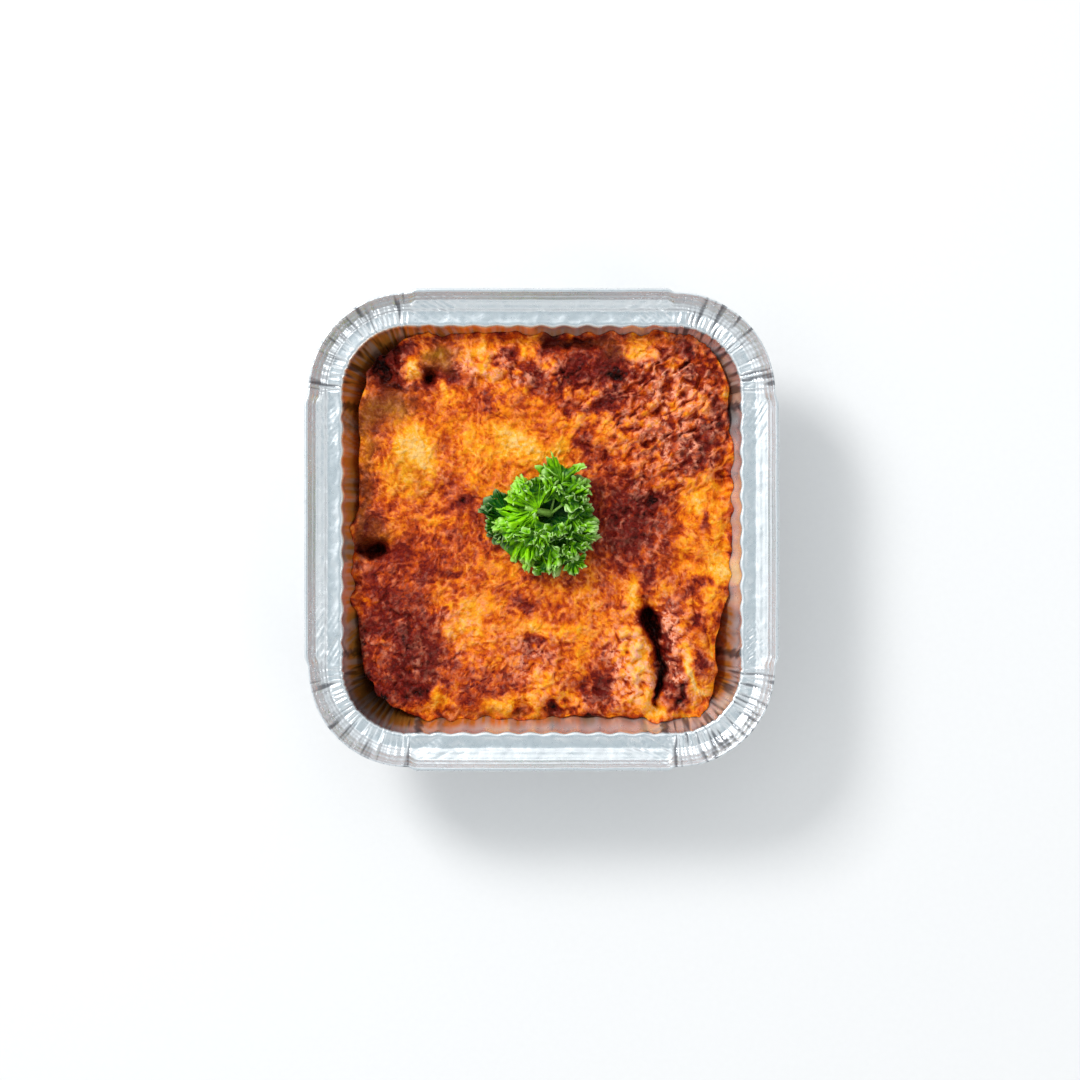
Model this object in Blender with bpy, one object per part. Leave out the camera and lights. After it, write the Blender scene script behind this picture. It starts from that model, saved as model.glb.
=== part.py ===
"""Foil tray meal: a baked dish under a browned cheese crust, in a square foil tray,
with a sprig of curly parsley in the middle.

Metres, +Z up. The origin is the middle of the tray's flat base.
"""
import math

import bpy
import numpy as np
from mathutils import Matrix, Vector

MM = 0.001

# Tray in plan: half sizes of the opening's edge, and the radius of its corners
OPENING_HALF_X = 64.5 * MM
OPENING_HALF_Y = 65.8 * MM
OPENING_RADIUS = 21.6 * MM

# Tray in section: how far each line lies outside the opening's edge, and how high
FOIL = 0.35 * MM
FLOOR_OFFSET = -13.4 * MM
WALL_FOOT_OFFSET = -10.9 * MM
WALL_FOOT_Z = 3.0 * MM
WALL_TOP_OFFSET = -0.5 * MM
WALL_TOP_Z = 36.3 * MM
WALL_MIDDLE_Z = 20.0 * MM
SHELF_Z = 37.0 * MM
SHELF_START_OFFSET = 0.25 * MM
SHELF_END_OFFSET = 4.8 * MM
SLOPE_END_OFFSET = 7.4 * MM
SLOPE_END_Z = 38.0 * MM
HEM_OFFSET = 11.6 * MM
HEM_CORNER_OFFSET = 10.4 * MM
HEM_WIDTH = 1.3 * MM
HEM_DEPTH = 1.0 * MM
HEM_TOP_Z = 41.6 * MM

# Pressed flutes of the straight walls and the pleats of the corners
FLUTES_PER_SIDE = 11
FLUTE_PITCH = 7.3 * MM
FLUTE_DEPTH = 0.55 * MM
CORNER_STEPS = 16
PLEAT_DEPTH = 0.3 * MM
CRIMP_DEPTH = 0.3 * MM

# Bake: the gap it keeps to the foil, its level and how it falls towards its edge
GAP = 0.35 * MM
LEVEL = 30.5 * MM
LEVEL_TILT = 0.04
EDGE_DROP = 2.2 * MM
EDGE_REACH = 4.5 * MM
HIGHEST = 33.6 * MM
GRID_STEPS = 40

# Rolling of the crust: size of the bumps, their height and the seed of their pattern
ROLLS = (
    (15.0 * MM, 1.1 * MM, 4),
    (7.0 * MM, 0.8 * MM, 9),
)

# Mounds (+) and hollows (-) of the crust, in millimetres: centre x, y, reach x, y, turn in
# degrees, rise
CRUST_FORMS = (
    (-9.0, 53.5, 16.0, 3.6, -10.0, 1.6),     # lumpy ridge behind
    (-42.8, 24.9, 8.5, 9.6, 0.0, 1.5),       # pale swelling on the left
    (-41.2, 52.4, 3.0, 3.0, 0.0, 1.8),       # lump between the hollows at the back left
    (41.0, 41.5, 16.0, 20.0, 25.0, 1.2),     # browned mass at the back right
    (58.5, 45.7, 2.5, 2.5, 0.0, 1.4),        # nub against the right wall
    (29.8, -44.2, 5.6, 14.0, 8.0, 1.8),      # folded block at the front right
    (49.0, -40.0, 6.5, 18.0, 4.0, 1.3),      # flap beside it
    (-34.8, -53.8, 2.6, 2.6, 20.0, 2.4),     # cube-like lump at the front left
    (-43.8, -41.7, 8.0, 8.0, 0.0, 0.9),      # scorched swelling at the front left
    (-51.8, 50.2, 6.0, 6.0, 0.0, -4.4),      # deep recess in the back left corner
    (-46.6, 57.0, 5.0, 3.6, 0.0, -4.0),      # the same recess along the back wall
    (-36.4, 49.8, 2.3, 2.3, 0.0, -3.6),      # hole beside the recess
    (-31.5, 56.6, 4.8, 3.0, 0.0, -2.0),      # low patch behind it
    (11.4, 60.5, 7.0, 2.2, 0.0, -2.2),       # sunken edge behind
    (44.2, 58.5, 1.6, 3.6, 0.0, -2.2),       # notch in the back edge
    (58.0, 15.6, 2.2, 6.0, 0.0, -2.6),       # torn edge on the right
    (-55.0, -6.2, 5.6, 3.0, 0.0, -7.0),      # deep hole at the left edge
    (-6.0, -58.0, 2.6, 2.4, 0.0, -3.0),      # holes at the front edge
    (3.4, -57.0, 2.6, 2.4, 0.0, -3.0),
    (15.8, -52.0, 6.5, 4.0, 0.0, -1.2),      # sunken red patch at the front
    (0.0, -63.0, 34.0, 4.0, 0.0, -2.4),      # low front edge
    (55.0, -53.0, 7.0, 7.0, 0.0, -2.0),      # low front right corner
)

# Furrow between the folded block and the flap, in millimetres: the line it follows
FURROW_LINE = ((34.2, -23.5), (36.9, -33.4), (39.1, -41.7), (38.5, -50.3), (37.5, -57.5))
FURROW_REACH = 1.9
FURROW_DEPTH = 3.6

# Where the crust stands back from the wall, in millimetres: place, reach along the edge, gap
EDGE_GAPS = (
    (-55.0, -56.0, 15.0, 4.2),
    (62.0, -40.0, 15.0, 3.0),
    (-62.0, 40.0, 9.0, 1.5),
)

# Parsley: its middle, the leaflets (place, radius and height above the crust, in
# millimetres), and the frill round each leaflet
SPRIG_X = 3.9 * MM
SPRIG_Y = 5.0 * MM
LEAFLETS = (
    (-16.6, 3.1, 4.8, 3.4),
    (-11.0, 7.8, 6.4, 6.4),
    (-7.6, -1.7, 6.4, 6.0),
    (-3.1, 13.4, 6.2, 6.8),
    (6.8, 19.6, 5.4, 4.4),
    (12.8, 14.0, 6.0, 6.2),
    (11.6, 6.2, 5.8, 9.0),
    (2.0, -2.0, 6.6, 9.4),
    (5.0, -10.6, 6.2, 5.0),
    (12.4, -4.4, 6.0, 6.4),
    (2.0, 7.4, 5.2, 10.4),
)
LEAF = 0.5 * MM
FRILLS = 4
FRILL_STEPS = 16
FRILL_HEIGHT = 0.24
FRILL_SCALLOP = 0.12
LEAF_CUP = 0.30
STALK_RADIUS = 0.8 * MM
STALK_SIDES = 5
HEART_RADIUS = 4.2 * MM
HEART_HEIGHT = 3.4 * MM
LEAF_CLEARANCE = 0.6 * MM


def clear_scene():
    """Remove every object, so that only the model is left."""
    for item in list(bpy.data.objects):
        bpy.data.objects.remove(item, do_unlink=True)


def finish_material(name, colour, roughness, metallic=0.0):
    """A plain Principled material."""
    material = bpy.data.materials.new(name)
    material.use_nodes = True
    shader = material.node_tree.nodes["Principled BSDF"]
    shader.inputs["Base Color"].default_value = (*colour, 1.0)
    shader.inputs["Roughness"].default_value = roughness
    shader.inputs["Metallic"].default_value = metallic
    return material


def make_object(name, points, faces, material, sharp_degrees=None):
    """Link a mesh object made from points and faces, smooth where an angle is given."""
    mesh = bpy.data.meshes.new(name)
    mesh.from_pydata([tuple(point) for point in points], [], [tuple(face) for face in faces])
    mesh.validate()
    mesh.materials.append(material)
    if sharp_degrees is not None:
        mesh.shade_smooth()
        mesh.set_sharp_from_angle(angle=math.radians(sharp_degrees))
    item = bpy.data.objects.new(name, mesh)
    bpy.context.scene.collection.objects.link(item)
    return item


def lattice_noise(x, y, cell, seed):
    """Smooth noise from -1 to 1: slopes drawn at the corners of square cells, blended."""
    size = 64
    angles = np.random.default_rng(seed).uniform(0.0, 2.0 * math.pi, (size, size))
    column = np.floor(x / cell).astype(int)
    row = np.floor(y / cell).astype(int)
    across = x / cell - column
    along = y / cell - row

    def corner(step_x, step_y):
        angle = angles[(column + step_x) % size, (row + step_y) % size]
        return np.cos(angle) * (across - step_x) + np.sin(angle) * (along - step_y)

    blend_x = across * across * (3.0 - 2.0 * across)
    blend_y = along * along * (3.0 - 2.0 * along)
    near = corner(0, 0) * (1.0 - blend_x) + corner(1, 0) * blend_x
    far = corner(0, 1) * (1.0 - blend_x) + corner(1, 1) * blend_x
    return 1.6 * (near * (1.0 - blend_y) + far * blend_y)


def distance_to_line(x, y, line):
    """Shortest distance from each point to a line of straight pieces."""
    nearest = np.full(np.shape(x), 1e9)
    for (start_x, start_y), (end_x, end_y) in zip(line[:-1], line[1:]):
        run_x = end_x - start_x
        run_y = end_y - start_y
        share = ((x - start_x) * run_x + (y - start_y) * run_y) / (run_x ** 2 + run_y ** 2)
        share = np.clip(share, 0.0, 1.0)
        gap = np.hypot(x - start_x - share * run_x, y - start_y - share * run_y)
        nearest = np.minimum(nearest, gap)
    return nearest


def core_half():
    """Half sizes of the rectangle through the centres of the corner arcs."""
    return OPENING_HALF_X - OPENING_RADIUS, OPENING_HALF_Y - OPENING_RADIUS


def wall_offset(height):
    """The straight taper of the inner wall: offset from the opening's edge at a height."""
    slope = (WALL_TOP_OFFSET - WALL_FOOT_OFFSET) / (WALL_TOP_Z - WALL_FOOT_Z)
    return WALL_TOP_OFFSET - (WALL_TOP_Z - height) * slope


def inset_from_wall(x, y):
    """How far inside the bake's usual outline a point lies."""
    half_x, half_y = core_half()
    beyond_x = np.maximum(np.abs(x) - half_x, 0.0)
    beyond_y = np.maximum(np.abs(y) - half_y, 0.0)
    radius = OPENING_RADIUS + wall_offset(LEVEL)
    return radius - np.hypot(beyond_x, beyond_y)


def crust_height(x, y):
    """Height of the crust: a tilted level that falls at the edge, with mounds, hollows,
    the furrow and rolling bumps added, and the highest parts pressed flat."""
    inset = np.maximum(inset_from_wall(x, y), 0.0)
    height = LEVEL + LEVEL_TILT * y - EDGE_DROP * np.exp(-(inset / EDGE_REACH) ** 2)
    for centre_x, centre_y, reach_x, reach_y, turn, rise in CRUST_FORMS:
        angle = math.radians(turn)
        off_x = x / MM - centre_x
        off_y = y / MM - centre_y
        along = (off_x * math.cos(angle) + off_y * math.sin(angle)) / reach_x
        across = (off_y * math.cos(angle) - off_x * math.sin(angle)) / reach_y
        height = height + rise * MM * np.exp(-(along ** 2 + across ** 2) ** 1.5)
    furrow = distance_to_line(x / MM, y / MM, FURROW_LINE) / FURROW_REACH
    height = height - FURROW_DEPTH * MM * np.exp(-furrow ** 2)
    for cell, rise, seed in ROLLS:
        height = height + rise * lattice_noise(x, y, cell, seed)
    over = np.maximum(height - LEVEL, 0.0)
    room = HIGHEST - LEVEL
    return np.minimum(height, LEVEL) + room * np.tanh(over / room)


def edge_gap(x, y):
    """How far the crust's edge stands back from its usual outline."""
    gap = np.zeros(np.shape(x))
    for place_x, place_y, reach, depth in EDGE_GAPS:
        away = np.hypot(x / MM - place_x, y / MM - place_y) / reach
        gap = gap + depth * MM * np.exp(-away ** 4)
    return gap


def tray_stations():
    """Stations anticlockwise round the tray: the point of the core rectangle, the outward
    normal, the flute wave (1 out, -1 in) and whether the station is in a corner."""
    half_x, half_y = core_half()
    steps = 2 * FLUTES_PER_SIDE
    flute_places = (np.arange(steps + 1) - FLUTES_PER_SIDE) * FLUTE_PITCH / 2.0
    corner_angles = np.linspace(0.0, math.pi / 2.0, CORNER_STEPS + 1)
    stations = []
    for side in range(4):
        facing = side * math.pi / 2.0
        normal = Vector((math.cos(facing), math.sin(facing)))
        onward = Vector((-normal.y, normal.x))
        middle = Vector((normal.x * half_x, normal.y * half_y))
        for step, place in enumerate(flute_places):
            wave = 1.0 if step % 2 else -1.0
            stations.append((middle + onward * place, normal, wave, False))
        end = middle + Vector((onward.x * half_x, onward.y * half_y))
        for step, turn in enumerate(corner_angles):
            at_end = step in (0, CORNER_STEPS)
            wave = 0.0 if at_end else (1.0 if step % 2 else -1.0)
            outward = Vector((math.cos(facing + turn), math.sin(facing + turn)))
            stations.append((end, outward, wave, True))
    return stations


def make_tray():
    """The foil tray: rings of points from the floor up the inner wall, over the shelf and
    the rolled hem, and back down the outside, bridged and closed by the floor."""
    slope = (WALL_TOP_OFFSET - WALL_FOOT_OFFSET) / (WALL_TOP_Z - WALL_FOOT_Z)
    foil_across = FOIL * math.sqrt(1.0 + slope ** 2)
    flange_top_z = HEM_TOP_Z - HEM_DEPTH * 0.35
    hem_low_z = HEM_TOP_Z - HEM_DEPTH

    def section(hem_offset):
        """Offset, height and depth of the flute or pleat for each line of the section."""
        return (
            (FLOOR_OFFSET, FOIL, 0.0),
            (WALL_FOOT_OFFSET, WALL_FOOT_Z, 0.6),
            (wall_offset(WALL_MIDDLE_Z), WALL_MIDDLE_Z, 1.0),
            (WALL_TOP_OFFSET, WALL_TOP_Z, 1.0),
            (SHELF_START_OFFSET, SHELF_Z, 0.9),
            (SHELF_END_OFFSET, SHELF_Z, 0.0),
            (SLOPE_END_OFFSET, SLOPE_END_Z, 0.0),
            (hem_offset - HEM_WIDTH, flange_top_z, 0.0),
            (hem_offset - HEM_WIDTH * 0.6, HEM_TOP_Z, 0.0),
            (hem_offset, HEM_TOP_Z - HEM_DEPTH * 0.4, 0.0),
            (hem_offset - HEM_WIDTH * 0.4, hem_low_z, 0.0),
            (hem_offset - HEM_WIDTH + FOIL, hem_low_z, 0.0),
            (SLOPE_END_OFFSET + FOIL, SLOPE_END_Z - FOIL, 0.0),
            (SHELF_END_OFFSET, SHELF_Z - FOIL, 0.0),
            (WALL_TOP_OFFSET + foil_across, SHELF_Z - FOIL * 1.6, 0.9),
            (wall_offset(WALL_MIDDLE_Z) + foil_across, WALL_MIDDLE_Z, 1.0),
            (WALL_FOOT_OFFSET + foil_across, WALL_FOOT_Z - FOIL, 0.6),
            (FLOOR_OFFSET + FOIL, 0.0, 0.0),
        )

    stations = tray_stations()
    points = []
    for core, normal, wave, in_corner in stations:
        hem_offset = HEM_CORNER_OFFSET if in_corner else HEM_OFFSET
        depth = PLEAT_DEPTH if in_corner else FLUTE_DEPTH
        for line, (offset, height, share) in enumerate(section(hem_offset)):
            reach = OPENING_RADIUS + offset + wave * depth * share
            crimped = in_corner and WALL_TOP_Z < height < flange_top_z
            crimp = 0.5 * CRIMP_DEPTH * wave if crimped else 0.0
            place = core + normal * reach
            points.append((place.x, place.y, height + crimp))

    lines = len(section(HEM_OFFSET))
    count = len(stations)
    faces = []
    for station in range(count):
        onward = (station + 1) % count
        for line in range(lines - 1):
            a = station * lines + line
            b = onward * lines + line
            faces.append((a, a + 1, b + 1))
            faces.append((a, b + 1, b))
    inside = len(points)
    points.append((0.0, 0.0, FOIL))
    points.append((0.0, 0.0, 0.0))
    for station in range(count):
        onward = (station + 1) % count
        faces.append((inside, station * lines, onward * lines))
        faces.append((inside + 1, onward * lines + lines - 1, station * lines + lines - 1))
    foil = finish_material("pressed_foil", (0.78, 0.80, 0.82), 0.28, 1.0)
    return make_object("tray", points, faces, foil, 35.0)


def bake_outline(points):
    """Turn points of a square sheet into the rounded outline: beyond the core rectangle a
    point keeps its larger distance from it, measured along the line through it."""
    half_x, half_y = core_half()
    core = np.stack([np.clip(points[:, 0], -half_x, half_x),
                     np.clip(points[:, 1], -half_y, half_y)], axis=1)
    beyond = points - core
    length = np.maximum(np.hypot(beyond[:, 0], beyond[:, 1]), 1e-12)
    normal = beyond / length[:, None]
    reach = np.abs(beyond).max(axis=1)
    return core, normal, reach


def make_bake():
    """The baked dish: a sheet of crust heights, a side that follows the tapered wall with
    a small gap, and a flat underside just above the floor."""
    half_x, half_y = core_half()
    radius = OPENING_RADIUS + wall_offset(LEVEL)
    clearance = GAP + FLUTE_DEPTH
    ticks = np.linspace(-1.0, 1.0, GRID_STEPS + 1)
    across, along = np.meshgrid(ticks, ticks, indexing="xy")
    sheet = np.stack([across.ravel() * (half_x + radius), along.ravel() * (half_y + radius)],
                     axis=1)
    core, normal, reach = bake_outline(sheet)

    edge = core + normal * radius
    edge_level = crust_height(edge[:, 0], edge[:, 1])
    for _ in range(2):
        rim = OPENING_RADIUS + wall_offset(edge_level) - clearance
        rim = rim - edge_gap(edge[:, 0], edge[:, 1])
        trial = core + normal * rim[:, None]
        edge_level = crust_height(trial[:, 0], trial[:, 1])
    place = core + normal * (reach * rim / radius)[:, None]
    level = crust_height(place[:, 0], place[:, 1])

    row = GRID_STEPS + 1
    index = np.arange(row * row).reshape(row, row)
    loop = np.concatenate([index[0, :-1], index[:-1, -1], index[-1, :0:-1], index[:0:-1, 0]])
    points = [(x, y, z) for (x, y), z in zip(place, level)]
    faces = []
    for j in range(GRID_STEPS):
        for i in range(GRID_STEPS):
            a, b = index[j, i], index[j, i + 1]
            c, d = index[j + 1, i + 1], index[j + 1, i]
            falling = (i < GRID_STEPS / 2) != (j < GRID_STEPS / 2)
            faces += [(a, b, c), (a, c, d)] if not falling else [(a, b, d), (b, c, d)]

    foot_z = WALL_FOOT_Z + GAP
    foot = core[loop] + normal[loop] * (OPENING_RADIUS + wall_offset(foot_z) - clearance)
    base = core[loop] + normal[loop] * (OPENING_RADIUS + FLOOR_OFFSET - clearance)
    first_foot = len(points)
    points += [(x, y, foot_z) for x, y in foot]
    first_base = len(points)
    points += [(x, y, FOIL + GAP) for x, y in base]
    centre = len(points)
    points.append((0.0, 0.0, FOIL + GAP))
    count = len(loop)
    for step in range(count):
        onward = (step + 1) % count
        top_a, top_b = loop[step], loop[onward]
        foot_a, foot_b = first_foot + step, first_foot + onward
        base_a, base_b = first_base + step, first_base + onward
        faces += [(top_a, foot_a, foot_b), (top_a, foot_b, top_b)]
        faces += [(foot_a, base_a, base_b), (foot_a, base_b, foot_b)]
        faces.append((centre, base_b, base_a))
    crust = finish_material("baked_cheese_crust", (0.62, 0.24, 0.05), 0.45)
    return make_object("bake", points, faces, crust, 50.0)


def lift_clear(points):
    """Raise points that come too near the crust."""
    places = np.array(points)
    floor = crust_height(places[:, 0], places[:, 1]) + LEAF_CLEARANCE
    places[:, 2] = np.maximum(places[:, 2], floor)
    return places


def leaflet_solid(name, centre, radius, away, phase, material):
    """One curly leaflet: a thin cupped disc whose rim is scalloped and waves up and down.
    Both faces have the same triangles, a leaf's thickness apart."""
    tilt = Matrix.Rotation(math.radians(28.0), 3, Vector((-away.y, away.x, 0.0)))
    rings = (0.5, 1.0)
    turns = np.arange(FRILL_STEPS) * 2.0 * math.pi / FRILL_STEPS
    upper = [Vector((0.0, 0.0, 0.0))]
    for ring in rings:
        for turn in turns:
            wave = math.sin(FRILLS * turn + phase)
            scallop = 1.0 + FRILL_SCALLOP * ring * math.cos(FRILLS * turn + phase)
            out = radius * ring * scallop
            rise = radius * (FRILL_HEIGHT * ring ** 2 * wave - LEAF_CUP * ring ** 2)
            upper.append(Vector((out * math.cos(turn), out * math.sin(turn), rise)))
    top = lift_clear([centre + tilt @ point + Vector((0.0, 0.0, LEAF)) for point in upper])
    under = top - np.array((0.0, 0.0, LEAF))
    count = FRILL_STEPS
    one_face = []
    for step in range(count):
        onward = (step + 1) % count
        inner_a, inner_b = 1 + step, 1 + onward
        outer_a, outer_b = 1 + count + step, 1 + count + onward
        one_face.append((0, inner_a, inner_b))
        one_face.append((inner_a, outer_a, outer_b))
        one_face.append((inner_a, outer_b, inner_b))
    shift = len(upper)
    faces = list(one_face)
    faces += [(a + shift, c + shift, b + shift) for a, b, c in one_face]
    for step in range(count):
        rim_a = 1 + count + step
        rim_b = 1 + count + (step + 1) % count
        faces.append((rim_a, rim_a + shift, rim_b + shift))
        faces.append((rim_a, rim_b + shift, rim_b))
    return make_object(name, np.concatenate([top, under]), faces, material)


def stalk_solid(name, start, end, material):
    """One straight stalk: a rod between two points."""
    run = end - start
    turn = run.to_track_quat("Z", "Y").to_matrix()
    points = []
    for along in (0.0, run.length):
        for side in range(STALK_SIDES):
            angle = 2.0 * math.pi * side / STALK_SIDES
            local = Vector((math.cos(angle), math.sin(angle), 0.0)) * STALK_RADIUS
            local.z = along
            points.append(start + turn @ local)
    faces = [tuple(reversed(range(STALK_SIDES))), tuple(range(STALK_SIDES, 2 * STALK_SIDES))]
    for side in range(STALK_SIDES):
        onward = (side + 1) % STALK_SIDES
        faces.append((side, onward, onward + STALK_SIDES, side + STALK_SIDES))
    return make_object(name, lift_clear(points), faces, material)


def make_parsley():
    """The sprig: a small heart with a stalk to each leaflet, all joined to one solid."""
    green = finish_material("parsley_leaf", (0.10, 0.28, 0.03), 0.42)
    crust_below = float(crust_height(np.array([SPRIG_X]), np.array([SPRIG_Y]))[0])
    heart = Vector((SPRIG_X, SPRIG_Y, crust_below + LEAF_CLEARANCE + HEART_HEIGHT))

    loose = bpy.data.collections.new("leaflets")
    bpy.context.scene.collection.children.link(loose)
    pieces = []
    for number, (x, y, radius, height) in enumerate(LEAFLETS):
        below = float(crust_height(np.array([x * MM]), np.array([y * MM]))[0])
        centre = Vector((x * MM, y * MM, below + height * MM))
        away = centre - heart
        away.z = 0.0
        away.normalize()
        leaflet = leaflet_solid(f"leaflet_{number}", centre, radius * MM, away,
                                1.7 * number, green)
        end = centre + Vector((0.0, 0.0, LEAF * 0.5))
        stalk = stalk_solid(f"stalk_{number}", heart, end, green)
        pieces += [leaflet, stalk]
    for piece in pieces:
        bpy.context.scene.collection.objects.unlink(piece)
        loose.objects.link(piece)

    bpy.ops.mesh.primitive_ico_sphere_add(subdivisions=2, radius=1.0, location=(0, 0, 0))
    sprig = bpy.context.object
    sprig.name = "parsley_sprig"
    sprig.data.name = "parsley_sprig"
    sprig.data.materials.append(green)
    shape = Matrix.Translation(heart) @ Matrix.Diagonal(
        (HEART_RADIUS, HEART_RADIUS, HEART_HEIGHT, 1.0))
    sprig.data.transform(shape)
    lifted = lift_clear([vertex.co for vertex in sprig.data.vertices])
    sprig.data.vertices.foreach_set("co", lifted.ravel())

    fuse = sprig.modifiers.new("fuse", "BOOLEAN")
    fuse.operation = "UNION"
    fuse.operand_type = "COLLECTION"
    fuse.collection = loose
    fuse.solver = "MANIFOLD"
    bpy.ops.object.modifier_apply(modifier=fuse.name)
    for piece in pieces:
        bpy.data.objects.remove(piece, do_unlink=True)
    bpy.data.collections.remove(loose)
    return sprig


def main():
    clear_scene()
    make_tray()
    make_bake()
    make_parsley()


main()
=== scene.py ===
"""Foil tray meal: the look of every surface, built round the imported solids.

A square tray of pressed foil, a baked dish under a browned cheese crust, and a sprig of
curly parsley. Metres, +Z up; +Y is the far side of the tray.
"""
import math

import bpy
import numpy as np
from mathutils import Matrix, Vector


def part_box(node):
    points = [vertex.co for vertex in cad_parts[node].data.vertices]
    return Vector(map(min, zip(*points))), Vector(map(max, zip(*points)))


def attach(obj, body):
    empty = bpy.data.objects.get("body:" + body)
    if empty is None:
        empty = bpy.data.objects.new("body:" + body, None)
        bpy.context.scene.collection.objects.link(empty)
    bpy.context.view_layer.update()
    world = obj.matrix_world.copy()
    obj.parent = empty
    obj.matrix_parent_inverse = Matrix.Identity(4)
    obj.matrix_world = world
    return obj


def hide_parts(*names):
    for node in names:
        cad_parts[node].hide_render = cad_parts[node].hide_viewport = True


bl_info = {
    "name": "Foil Tray Meal",
    "version": (1, 0, 0),
    "blender": (4, 5, 0),
    "location": "View3D > Sidebar > Foil Meal",
    "description": "Builds a baked meal in a foil tray with a parsley garnish",
    "category": "Add Mesh",
}

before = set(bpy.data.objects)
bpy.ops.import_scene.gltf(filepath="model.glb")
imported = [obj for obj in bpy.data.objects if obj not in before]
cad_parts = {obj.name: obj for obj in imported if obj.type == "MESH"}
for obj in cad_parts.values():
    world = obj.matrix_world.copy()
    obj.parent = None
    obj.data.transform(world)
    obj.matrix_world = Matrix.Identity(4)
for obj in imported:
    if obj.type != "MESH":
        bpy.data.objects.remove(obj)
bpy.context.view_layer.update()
TRAY_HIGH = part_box("tray")[1]
SPRIG_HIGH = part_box("parsley_sprig")[1]

MM = 0.001
FULL_TURN = 2.0 * math.pi

# Tray in section: how far each line lies outside the opening's edge, and how high
HEM_OFFSET = 11.6 * MM
HEM_CORNER_OFFSET = 10.4 * MM
OPENING_RADIUS = 21.6 * MM
CORE_X = TRAY_HIGH[0] - HEM_OFFSET - OPENING_RADIUS
CORE_Y = TRAY_HIGH[1] - HEM_OFFSET - OPENING_RADIUS
HEM_TOP_Z = TRAY_HIGH[2]
FOIL = 0.35 * MM
FLOOR_OFFSET = -13.4 * MM
WALL_FOOT_OFFSET = -10.9 * MM
WALL_FOOT_Z = 3.0 * MM
WALL_TOP_OFFSET = -0.5 * MM
WALL_TOP_Z = 36.3 * MM
WALL_SLOPE = (WALL_TOP_OFFSET - WALL_FOOT_OFFSET) / (WALL_TOP_Z - WALL_FOOT_Z)
SHELF_Z = 37.0 * MM
SHELF_END_OFFSET = 4.8 * MM
SLOPE_END_OFFSET = 7.4 * MM
SLOPE_END_Z = 38.0 * MM
HEM_WIDTH = 1.3 * MM
HEM_DEPTH = 1.0 * MM
FLUTES_PER_SIDE = 11
FLUTE_PITCH = 7.3 * MM
FLUTED_HALF = FLUTES_PER_SIDE * FLUTE_PITCH / 2.0
# Painted shadow on the wall in the deep gap at the lower left, laid out as the patches of the
# crust are
SHADOW_PAINTED_ON_WALL = ((-53, -55, 13, 11, 0, 1),)

# Bake: its level, how it falls to the edge, and the bumps, mounds and hollows of the solid
GAP = 0.1 * MM
LEVEL = 30.5 * MM
LEVEL_TILT = 0.04
EDGE_DROP = 2.2 * MM
EDGE_REACH = 4.5 * MM
HIGHEST = 33.6 * MM
# Rolling bumps: size of a bump, rise and seed of each noise
ROLLS = (
    (15.0 * MM, 1.1 * MM, 4),
    (7.0 * MM, 0.8 * MM, 9),
)
# In millimetres: centre x, y, reach x, y, turn in degrees, rise
CRUST_FORMS = (
    (-9, 53.5, 16, 3.6, -10, 1.6),
    (-42.8, 24.9, 8.5, 9.6, 0, 1.5),
    (-41.2, 52.4, 3, 3, 0, 1.8),
    (41, 41.5, 16, 20, 25, 1.2),
    (58.5, 45.7, 2.5, 2.5, 0, 1.4),
    (29.8, -44.2, 5.6, 14, 8, 1.8),
    (49, -40, 6.5, 18, 4, 1.3),
    (-34.8, -53.8, 2.6, 2.6, 20, 2.4),
    (-43.8, -41.7, 8, 8, 0, 0.9),
    (-51.8, 50.2, 6, 6, 0, -4.4),
    (-46.6, 57, 5, 3.6, 0, -4),
    (-36.4, 49.8, 2.3, 2.3, 0, -3.6),
    (-31.5, 56.6, 4.8, 3, 0, -2),
    (11.4, 60.5, 7, 2.2, 0, -2.2),
    (44.2, 58.5, 1.6, 3.6, 0, -2.2),
    (58, 15.6, 2.2, 6, 0, -2.6),
    (-55, -6.2, 5.6, 3, 0, -7),
    (-6, -58, 2.6, 2.4, 0, -3),
    (3.4, -57, 2.6, 2.4, 0, -3),
    (15.8, -52, 6.5, 4, 0, -1.2),
    (0, -63, 34, 4, 0, -2.4),
    (55, -53, 7, 7, 0, -2),
)
# The furrow at the front right: points along it, half its width and its depth, in millimetres
FURROW_LINE = ((34.2, -23.5), (36.9, -33.4), (39.1, -41.7), (38.5, -50.3), (37.5, -57.5))
FURROW_REACH = 1.9
FURROW_DEPTH = 3.6
# The cut along the furrow's bottom, in millimetres: x, y, half its width
FURROW_CUT = (
    (34.4, -26.6, 2),
    (34.8, -31, 2.2),
    (37.4, -35, 1.5),
    (38.5, -40, 1.6),
    (39.4, -46, 1.25),
    (39.3, -50, 1),
    (37.8, -53.6, 0.75),
    (37.4, -57.4, 0.6),
)
# Where the crust stands back from the wall, in millimetres: x, y, reach, how far back
EDGE_GAPS = (
    (-56, 57, 14, 3.2),
    (60, 46, 13, 1.3),
    (-56, -55, 15, 4.4),
    (62, -40, 16, 4),
    (-63, 38, 12, 2.6),
    (-63, 18, 14, 2.4),
    (-63, -36, 10, 1.6),
    (20, -62, 13, 0.9),
)

# Rough, crumbly zones of the crust, in millimetres: centre x, y, reach x, y, turn, share
ROUGH_ZONES = (
    (42, 38, 21, 24, 30, 1),
    (-8, 53, 20, 6, -8, 0.9),
    (-44, 52, 7, 8, 0, 0.8),
    (29.5, -44, 7.5, 14, 4, 1),
    (42, -38, 3.6, 16, 6, 1),
    (50, -34, 6, 20, 6, 0.5),
    (-43, -42, 12, 12, 0, 0.6),
    (-2, -42, 20, 12, 0, 0.5),
    (10, -56, 14, 4, 0, 0.8),
    (28, 2, 13, 16, 0, 0.6),
    (10, 43, 10, 14, 0, 0.5),
    (-50, -22, 10, 10, 0, 0.4),
)
# Torn ridges slant across the far right of the crust, laid out as the rough zones are
TORN_ZONE = ((42, 38, 21, 25, 0, 1),)
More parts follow.
